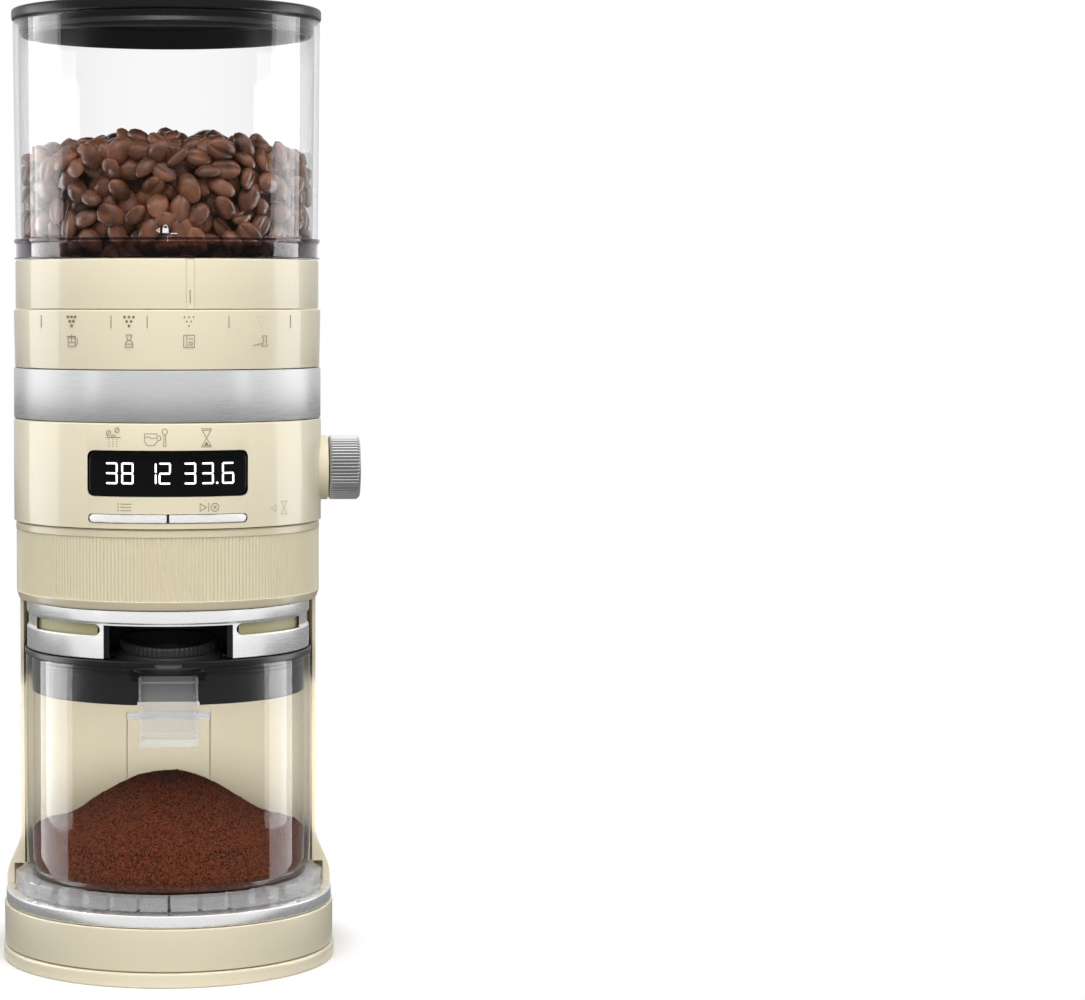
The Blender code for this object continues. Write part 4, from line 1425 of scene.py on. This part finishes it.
# ---- collar and neck ----
@dataclass
class Neck:
    """Fluted jog collar, its track, the satin neck over the jar and the outlet behind its window."""
    collar_radius: float = 65.6
    collar_low: float = 156.6
    collar_high: float = 190.4
    end_y: float = 27.0
    flutes: int = 250
    flute_depth: float = 0.55

    def collar(self) -> None:
        """Collar wall carried along an arc: r(a, z) with fine flutes between its plain borders."""
        r, low, high = self.collar_radius, self.collar_low, self.collar_high
        line = resample(fillet([
            (r - 0.5, high, 0.5), (r, high - 1.0, 0.5), (r, high - 3.2, 0.2), (r - 0.15, high - 3.5, 0.1),
            (r - 0.15, low + 3.9, 0.1), (r, low + 3.6, 0.2), (r - 1.3, low, 0.7), (62.3, low, 0.3),
            (62.3, high, 0.3)], 3, True), 90, True)
        end = math.asin(self.end_y / r)
        span = math.pi + 2 * end
        steps = int(self.flutes * 6 * span / TAU)
        angle = (np.linspace(math.pi - end, math.pi - end + span, steps + 1))[:, None]
        height = line[None, :, 1]
        radius = np.broadcast_to(line[None, :, 0], (steps + 1, len(line)))
        mask = (radius > r - 0.4) & (height > low + 3.8) & (height < high - 3.4)
        radius = radius - np.where(mask, self.flute_depth * (0.5 - 0.5 * np.cos(angle * self.flutes)), 0)
        points = np.stack([radius * np.cos(angle), radius * np.sin(angle),
                           np.broadcast_to(height, radius.shape)], axis=-1).reshape(-1, 3)
        count = len(line)
        faces = grid_faces(steps + 1, count, False, True).tolist()
        faces += [list(range(count)), list(range(steps * count, (steps + 1) * count))]
        # The collar's darker cream is painted shade of its flutes, not a colour of its own.
        collar = mesh_object("fluted_collar", points, faces, COLLAR_CREAM_SHADED, 60)
        seat(collar, Body.COLLAR, "cream_paint", "jog_collar")

    def neck(self) -> None:
        """Satin neck: a turned wall with a flared upper ring, the window and two side slots."""
        neck = turned("satin_neck", [
            (59.8, 156.2), (61.3, 156.2, 0.3), (61.3, 151.2, 0.5), (60.4, 150.4, 0.4), (60.4, 145.8, 0.6),
            (61.2, 145.0, 0.5), (61.2, 135.6, 0.5), (59.8, 135.6)], SATIN, 256)
        combine(neck, 'DIFFERENCE', block("window", (-27, -80, 130), (27, -30, 149.8), SATIN),
                *(self.slot(side) for side in (-1, 1)))
        seat(neck, Body.FRAME, "rim_metal", "neck")
        posts = [block("post", (x - 2.0, -53.2, 135.9), (x + 2.0, -46, 150.6), BLACK)
                 for x in (-26.6, 26.6)]
        posts.append(block("window_back", (-27, -12, 136), (27, -10, 155.6), BLACK))
        seat(joined("window_posts", posts), Body.FRAME, "black_plastic")
        # The lining is the cream sleeve painted dark: its olive colour is painted shade seen through the
        # slots.
        lining = turned("neck_lining", [(59.0, 155.9), (59.0, 145.2), (57.6, 145.2), (57.6, 155.9)],
                        SLOT_CREAM_SHADED)
        combine(lining, 'DIFFERENCE', block("lining_gap", (-29.5, -80, 130), (29.5, -30, 160), CREAM))
        seat(lining, Body.FRAME, "cream_paint")

    def slot(self, side: int) -> Piece:
        """A cutter for the side slot: a flat bar with a rounded inner end.

        Args:
            side: -1 for the left slot, 1 for the right one.

        Returns:
            The cutter.
        """
        bar = block("slot", (31, -80, 145.3), (56, -10, 150.2), SATIN)
        combine(bar, 'UNION', self.slot_end())
        bar.data.transform(Matrix.Scale(side, 4, (1, 0, 0)))
        if side < 0:
            bar.data.flip_normals()
        return bar

    @staticmethod
    def slot_end() -> Piece:
        """The round inner end of a slot."""
        end = turned("slot_end", [(0, 80), (2.45, 80), (2.45, 10), (0, 10)], SATIN, 32)
        end.data.transform(Matrix.Translation((0.031, 0, 0.14775)) @ Matrix.Rotation(math.pi / 2, 4, 'X'))
        return end

    def build(self) -> None:
        """Makes the collar and the neck."""
        self.collar()
        self.neck()


# ---- base ----
@dataclass
class Base:
    """Ballast plate, base shell and the bright plate that the jar stands on."""
    radius: float = 71.5
    half_width: float = 50.0
    back: float = 103.5

    def build(self) -> None:
        """Makes the three layers and the strip behind the jar."""
        def foot(inset: float) -> Array:
            """The ballast plate's outline."""
            return spine_outline(self.radius + 0.6, self.half_width, self.back + 0.4, inset=inset)
        plate = rounded_prism("ballast_plate", foot, 0.0, 6.3, 1.2, CREAM)
        feet = [rod(f"pad_room_{i}", 7.4, -2, 9, CREAM, 48, (x, y, 0)) for i, (x, y) in
                enumerate(((-42, -42), (42, -42), (-36, 80), (36, 80)))]
        seat(combine(plate, 'DIFFERENCE', *feet), Body.FRAME, "cream_paint", "bottom_plate")

        def shell(inset: float) -> Array:
            """The skirt's outline."""
            return spine_outline(self.radius, self.half_width, self.back, inset=inset)
        sides = rounded_prism("base_skirt", shell, 6.75, 24.6, 0.6, CREAM)
        room = spine_outline(self.radius - 3, self.half_width - 3, self.back - 3.5, 15)
        combine(sides, 'DIFFERENCE', lofted("base_room", [(4, room), (21.6, room)], CREAM),
                block("wire_way", (-20, 74, 15), (20, 92, 30), CREAM))
        seat(sides, Body.FRAME, "cream_paint", "base_shell")
        self.jar_plate()
        seam = block("column_strip", (-18.8, 58.6, 94.4), (18.8, 62.9, 97.4), SATIN)
        combine(seam, 'INTERSECT', rod("strip_round", 62.9, 90, 110, SATIN))
        combine(seam, 'DIFFERENCE', rod("strip_room", 61.7, 80, 120, SATIN))
        seat(seam, Body.FRAME, "rim_metal")

    def jar_plate(self) -> None:
        """The bright plate: its outline is a wide arc in front and a narrow one within the column."""
        wing = math.degrees(math.asin(4.7 / self.radius))
        def outline(inset: float) -> Array:
            """The plate's outline, drawn in by an inset."""
            return np.concatenate([arc(70.8 - inset, 180 - wing, 360 + wing, 150),
                                   arc(62.7 - inset, wing, 180 - wing, 90)])
        plate = rounded_prism("jar_stand", outline, 24.9, 30.2, 0.7, SATIN)
        seat(plate, Body.FRAME, "rim_metal", "jar_plate")


# ---- jar ----
@dataclass
class Jar:
    """Clear jar with its blocked foot, the ground coffee, the plugged lid, funnel and drop chute."""
    radius: float = 61.8
    wall: float = 2.2
    foot_radius: float = 66.8
    low: float = 30.5
    high: float = 132.4
    blocks: int = 32
    funnel_y: float = -35.0
    heap_low: float = 37.0
    heap_edge: float = 54.0
    heap_rise: float = 25.0
    heap_reach: float = 38.0

    def glass(self) -> None:
        """Clear wall and thick floor; blocks stand out round the foot."""
        def notches(angle: Array, radius: Array, height: Array) -> Array:
            """Sinks the gaps between the blocks of the foot."""
            gap = np.clip((np.abs(np.sin(angle * self.blocks / 2)) - 0.16) / 0.12, 0, 1)
            return radius - np.where((radius > 64.0) & (height < 38.2), 1.7 * (1 - gap), 0)
        r, w = self.radius, self.wall
        jar = turned("jar_glass", [
            (0, 36.2), (56.6, 36.2, 3), (r - w, 40.5, 3), (r - w, self.high, 0.5), (r, self.high, 0.6),
            (r, 40.6, 0.6), (64.0, 38.6, 0.8), (self.foot_radius, 37.6, 0.9),
            (self.foot_radius, self.low, 0.6), (59.5, self.low, 0.5), (58, 32.5, 0.5), (0, 32.5)],
            JAR_CLEAR, 768, relief=notches)
        let_light_in(jar)
        seat(jar, Body.JAR, "clear_plastic", "jar")

    def foot_blocks(self) -> None:
        """Ribs moulded in the jar's foot, an even ring of boxes with gaps between; their pale frost is
        painted highlight on the clear facets.
        """
        ribs = []
        for i in range(self.blocks):
            rib = block("rib", (-5.7, -66.2, 31.2), (5.7, -59.5, 36.9), FROST_AS_HIGHLIGHT)
            rib.data.transform(Matrix.Rotation((i + 0.5) * TAU / self.blocks, 4, 'Z'))
            ribs.append(rib)
        ring = joined("jar_foot_ribs", ribs)
        let_light_in(ring)
        seat(ring, Body.JAR, "clear_plastic")

    def grounds(self) -> None:
        """The heap: height = edge + rise exp(-(r/reach)^2.6) + lumps, with seeded grains."""
        draw = np.random.default_rng(23)
        inner = self.radius - self.wall - 0.5
        rings, spokes = 150, 420
        share = np.linspace(0, 1, rings)[:, None]
        angle = (np.arange(spokes) / spokes * TAU)[None, :]
        radius = inner * share ** 0.85 + 0 * angle
        x, y = radius * np.cos(angle), radius * np.sin(angle)
        bell = np.exp(-(np.hypot(x + 0.5, y + 1) / self.heap_reach) ** 2.6)
        lumps = (np.sin(x / 6.1 + 1.3) * np.cos(y / 7.3)
                 + 0.6 * np.sin(x / 2.9) * np.sin(y / 3.1 + 0.7))
        z = self.heap_edge + self.heap_rise * bell + 0.5 * lumps
        grain = draw.normal(0, 0.30, z.shape)
        z = z + grain * np.where(share < 0.995, 1, 0.2)
        x = x + draw.normal(0, 0.14, x.shape) * (share < 0.98)
        y = y + draw.normal(0, 0.14, y.shape) * (share < 0.98)
        z[0] = z[0].mean()
        x[0], y[0] = 0, 0
        walls = np.linspace(1, 0, 14)[1:, None]
        rim_z = z[-1][None, :]
        side_z = self.heap_low + (rim_z - self.heap_low) * walls
        draw_in = np.where(side_z < 41.5, (41.5 - side_z) * 0.75, 0)
        side_r = inner - draw_in - np.abs(draw.normal(0, 0.10, side_z.shape))
        sides = np.stack([side_r * np.cos(angle), side_r * np.sin(angle), side_z], -1)
        floor = np.zeros((1, spokes, 3))
        floor[..., 2] = self.heap_low
        points = np.concatenate([np.stack([x, y, z], -1), sides, floor]).reshape(-1, 3)
        heap = mesh_object("coffee_grounds", points, grid_faces(rings + 14, spokes, False, True),
                           GROUNDS, 12)
        seat(heap, Body.JAR, "black_plastic")

    def lid(self) -> None:
        """Black lid: a lip on the jar, a plug inside it and the pocket for the drop chute."""
        r = self.radius
        lid = turned("jar_lid_plug", [
            (0, 135.2), (r + 0.4, 135.2, 0.7), (r + 0.4, 132.7, 0.4), (59.2, 132.7, 0.3),
            (59.2, 130.6, 0.4), (58.7, 130.2, 0.2), (58.7, 128.9, 0.2), (59.2, 128.5, 0.4),
            (59.2, 116.5, 0.8), (56.6, 116.5, 0.6), (56.6, 130, 1), (0, 130)], BLACK, 256)
        combine(lid, 'DIFFERENCE', block("pocket", (-13.0, -70, 110), (13.0, -40, 129.6), BLACK),
                rod("funnel_room", 15.4, 120, 140, BLACK, 96, (0, self.funnel_y, 0)),
                rod("funnel_notch", 24.6, 126.6, 140, BLACK, 128, (0, self.funnel_y - 3, 0)))
        seat(lid, Body.JAR, "black_plastic", "jar_lid")
        back = block("pocket_back", (-18, -24.0, 113.5), (18, -22.4, 126.4), BLACK)
        seat(back, Body.JAR, "black_plastic")

    def droop(self, points: Array, hinge: float = 0.155) -> Array:
        """Lowers the front of the funnel: z falls with the distance in front of its middle.

        Args:
            points: Points of the funnel, in millimetres.
            hinge: Fall for each millimetre forwards.

        Returns:
            The lowered points.
        """
        front = np.clip(-(points[:, 1] - self.funnel_y), -30, 30)
        points[:, 2] -= np.where(front > 0, front, front * 0.25) * hinge
        return points

    def funnel(self) -> None:
        """Soft funnel: an upper bowl with fine ribs, a wide flange that droops to the front, a tube."""
        def ribs(angle: Array, radius: Array, height: Array) -> Array:
            """Sinks 60 fine ribs into the upper rim."""
            wave = 0.5 - 0.5 * np.cos(angle * 60)
            return radius - np.where((radius > 19.6) & (height > 139.0), 0.25 * wave, 0)
        funnel = turned("funnel_boot", [
            (20.4, 143.0, 0.8), (20.4, 139.2, 0.5), (19.8, 138.6, 0.3), (20.2, 138.0, 0.3),
            (22.6, 136.9, 0.7), (23.3, 135.9, 0.7), (23.3, 134.3, 0.7), (15.0, 133.2, 0.4),
            (15.0, 128.4, 0.4), (13.2, 128.4, 0.4), (13.2, 137.6, 1), (18.8, 143.0, 0.7)],
            RUBBER, 480, (0, self.funnel_y, 0), relief=ribs, rows=60)
        points = np.empty(len(funnel.data.vertices) * 3)
        funnel.data.vertices.foreach_get("co", points)
        points = points.reshape(-1, 3) / MM
        upper = points[:, 2] > 132.8
        points[upper] = self.droop(points[upper])
        funnel.data.vertices.foreach_set("co", (points * MM).ravel())
        seat(funnel, Body.JAR, "rubber", "funnel_seal")

    def chute(self) -> None:
        """Clear drop chute: a rounded box tube that hangs in the lid's pocket."""
        def outline(half_x: float, y0: float, y1: float, corner: float) -> Array:
            """A rounded rectangle."""
            return fillet([(-half_x, y0, corner), (half_x, y0, corner), (half_x, y1, corner),
                           (-half_x, y1, corner)], 5, True)
        outer = outline(12.5, -50, -20, 2.2)
        chute = lofted("clear_chute", [(97.5, outer), (127.7, outer)], MILKY)
        inner = outline(11.1, -48.6, -21.4, 1.6)
        combine(chute, 'DIFFERENCE', lofted("chute_room", [(90, inner), (140, inner)], MILKY))
        let_light_in(chute)
        seat(chute, Body.JAR, "clear_plastic", "drop_chute")
        # Frosted bars along the chute's front edges: painted highlights of its bright clear edges.
        rims = [block("side_rim", (x - 0.55, -49.9, 97.7), (x + 0.55, -48.9, 127.3), FROST_AS_HIGHLIGHT)
                for x in (-11.9, 11.9)]
        rims += [block("cross_rim", (-11.3, -49.9, z), (11.3, -48.9, z + high), FROST_AS_HIGHLIGHT)
                 for z, high in ((97.7, 3.4), (103.2, 0.7), (124.6, 0.8))]
        rim = joined("chute_rim", rims)
        let_light_in(rim)
        seat(rim, Body.JAR, "clear_plastic")

    def build(self) -> None:
        """Makes the jar, its contents and its lid."""
        self.glass()
        self.foot_blocks()
        self.grounds()
        self.lid()
        self.funnel()
        self.chute()


# ---- pieces that keep the frame's own shape ----
@dataclass
class Works:
    """Finishes of the pieces inside the housing, which keep their shapes."""
    finishes: dict[str, object] = field(default_factory=lambda: {
        "black_plastic": BLACK, "brushed_band": KNOB_STEEL, "rubber": RUBBER, "board": BOARD,
        "nylon": NYLON, "burr_steel": BURR_STEEL, "alloy": ALLOY, "windings": COPPER,
        "cream_paint": CREAM, "rim_metal": SATIN, "display_black": GLASSY, "charcoal_lid": CHARCOAL,
        "clear_plastic": CLEAR})

    def build(self) -> None:
        """Dresses every node of the frame by its slot."""
        slots = {part["node"]: part["material_slot"] for part in frame["record"]["subparts"]}
        for name, node in frame["nodes"].items():
            node.data.materials.clear()
            node.data.materials.append(material(self.finishes[slots[name]]))
        LOG.info("%d nodes dressed", len(frame["nodes"]))


# ---- studio ----
@dataclass
class Studio:
    """White surround and floor, tall panels at both sides, a soft one above, and the camera."""
    distance: float = 1.312
    eye_height: float = 0.2857
    pitch: float = 3.8055
    yaw: float = 2.5
    focal: float = 100.38
    shift: float = 0.2238
    surround: float = 0.40
    ground: float = 0.28
    dim_front: float = 0.16
    mirrored_side: float = 0.74
    dim_above: float = 1.5
    metals: tuple[object, ...] = (BAND, SATIN)
    clears: tuple[object, ...] = (CLEAR, JAR_CLEAR, MILKY, FROST_AS_HIGHLIGHT, SMOKED, SMOKED_FOOT)

    def floor(self) -> None:
        """A wide floor: matt where the grinder's shadow falls, and glowing white further out."""
        floor = block("studio_floor", (-4000, -4000, -4), (4000, 6000, -0.05), BLACK)
        book = Shader("studio_floor")
        place = book.add("ShaderNodeMapping", Vector=book.place, Location=(0, -0.015, 0),
                         Scale=(1.0, 0.86, 0.0))
        away = book.add("ShaderNodeVectorMath", Vector=place.outputs["Vector"])
        away.operation = 'LENGTH'
        matt = book.add("ShaderNodeBsdfDiffuse", Color=book.tint(book.noise(6), (0.94, 0.94, 0.94),
                                                                 (0.96, 0.96, 0.96)))
        seen = book.add("ShaderNodeLightPath").outputs["Is Camera Ray"]
        glow = book.add("ShaderNodeEmission", Color=(1, 1, 1, 1),
                        Strength=between(book.tree, seen, self.ground, 1.0))
        mix = book.blend(ramped(book.tree, away.outputs["Value"], 0.073, 0.090), matt, glow)
        floor.data.materials.clear()
        floor.data.materials.append(book.finish(mix))

    def panel(self, name: str, place: Triple, aim: Triple,
              size: tuple[float, float], radiance: float) -> Piece:
        """A rectangular light panel that faces a point; its power is 4 times radiance times area.

        Args:
            name: The lamp's name.
            place: Where it hangs.
            aim: The point it faces.
            size: Its width and height.
            radiance: How bright its face is.

        Returns:
            The lamp.
        """
        data = bpy.data.lights.new(name, 'AREA')
        data.shape = 'RECTANGLE'
        data.size, data.size_y = size
        data.energy = 4 * radiance * size[0] * size[1]
        lamp = bpy.data.objects.new(name, data)
        lamp.location = place
        away = np.array(aim) - np.array(place)
        flat = math.hypot(away[0], away[1])
        lamp.rotation_euler = (math.pi / 2 + math.atan2(away[2], flat), 0, math.atan2(-away[0], away[1]))
        lamp.visible_camera = False
        bpy.context.scene.collection.objects.link(lamp)
        return lamp

    def lights(self) -> None:
        """Glints beside the grinder, panels for the metals, soft ones all round, one in the jar bay."""
        for side, wide in ((-1, 0.21), (1, 0.165)):
            place, size = (side * 0.32, wide / 2 - 0.053, 0.225), (wide, 0.45)
            clear = self.panel(f"clear_glint_{side}", place, (0, place[1], 0.225), size, 7.5)
            self.share(clear, self.clears, True)
            glint = self.panel(f"glint_{side}", place, (0, place[1], 0.225), size, 3.2)
            self.share(glint, self.clears + self.metals + (KNOB_STEEL,), False)
            clear.visible_diffuse = glint.visible_diffuse = False
        for name, place, aim, size, radiance in (
                ("front_panel", (0, -2.2, 0.3), (0, 0, 0.25), (8.0, 3.0), 0.60),
                ("left_panel", (-2.3, 0, 0.5), (0, 0, 0.5), (3.4, 2.0), 0.55),
                ("right_panel", (2.3, 0, 0.5), (0, 0, 0.5), (3.4, 2.0), 0.55),
                ("low_panel", (0, -1.2, 0.004), (0, -1.2, 1), (5.0, 2.2), 0.45)):
            lamp = self.panel(name, place, aim, size, radiance)
            lamp.visible_diffuse = False
            self.share(lamp, (SATIN,) if name == "low_panel" else self.metals, True)
        boot = self.panel("boot_glint", (0, -0.9, 0.55), (0, -0.05, 0.13), (0.5, 0.22), 7.0)
        boot.visible_diffuse = False
        self.share(boot, (RUBBER,), True)
        self.panel("top_panel", (0, -0.75, 1.3), (0, 0, 0.25), (1.4, 1.2), 2.9).visible_glossy = False
        self.panel("fill_panel", (0, -2.0, 0.25), (0, 0, 0.2), (2.4, 0.8), 1.3).visible_glossy = False
        bay = self.panel("bay_panel", (0, -0.048, 0.092), (0, 0.06, 0.080), (0.085, 0.030), 8.0)
        bay.visible_glossy = False
        self.share(bay, (CREAM,), True)
        self.panel("rear_panel", (0.4, 2.2, 0.6), (0, 0, 0.2), (2.4, 1.0), 0.9).visible_glossy = False

    def share(self, lamp: Piece, finishes: tuple[object, ...], only: bool) -> None:
        """Lets a lamp light only the pieces in these finishes, or all the others.

        Args:
            lamp: The lamp.
            finishes: The finishes.
            only: True to light only them, False for all the others.
        """
        group = bpy.data.collections.new(f"{lamp.name}_lit")
        chosen = [material(finish) for finish in finishes]
        for obj in bpy.data.objects:
            if obj.type == 'MESH' and obj.data.materials:
                if (obj.data.materials[0] in chosen) == only:
                    group.objects.link(obj)
        lamp.light_linking.receiver_collection = group

    def world(self) -> None:
        """White where the camera sees it, dim ahead of the grinder where its gloss mirrors it."""
        world = bpy.data.worlds.new("studio_surround")
        world.use_nodes = True
        tree = world.node_tree
        ray = tree.nodes.new("ShaderNodeLightPath").outputs
        way = add_node(tree, "ShaderNodeSeparateXYZ",
                       Vector=tree.nodes.new("ShaderNodeTexCoord").outputs["Generated"]).outputs
        mirrored = between(tree, ramped(tree, way["Y"], -0.5, 0.4), self.dim_front, self.mirrored_side)
        mirrored = between(tree, ramped(tree, way["Z"], 0.35, 0.9), mirrored, self.dim_above)
        strength = between(tree, ray["Is Glossy Ray"], self.surround, mirrored)
        strength = between(tree, ray["Is Camera Ray"], strength, 1.0)
        tree.links.new(strength, tree.nodes["Background"].inputs["Strength"])
        tree.nodes["Background"].inputs["Color"].default_value = (1, 1, 1, 1)
        bpy.context.scene.world = world

    def camera(self) -> None:
        """The camera, a little above the middle of the grinder and level with its hopper."""
        data = bpy.data.cameras.new("camera")
        data.lens = self.focal
        data.sensor_width = 36
        data.shift_x = self.shift
        data.dof.use_dof = False
        camera = bpy.data.objects.new("camera", data)
        camera.location = (0, -self.distance, self.eye_height)
        camera.rotation_euler = (math.radians(90 - self.pitch), 0, math.radians(-self.yaw))
        bpy.context.scene.collection.objects.link(camera)
        bpy.context.scene.camera = camera

    def build(self) -> None:
        """Sets the stage round the finished grinder."""
        bpy.context.scene.view_settings.view_transform = 'Standard'
        bpy.context.scene.cycles.transparent_max_bounces = 32
        self.floor()
        self.world()
        self.lights()
        self.camera()


def main() -> None:
    """Builds every assembly in order."""
    logging.basicConfig(level=logging.INFO, format="%(name)s %(message)s")
    Works().build()
    for assembly in (Base(), Housing(), Neck(), Controls(), GrindScale(), Hopper(), Jar(), Studio()):
        assembly.build()
    bpy.context.view_layer.update()


if __name__ == "__main__":
    main()
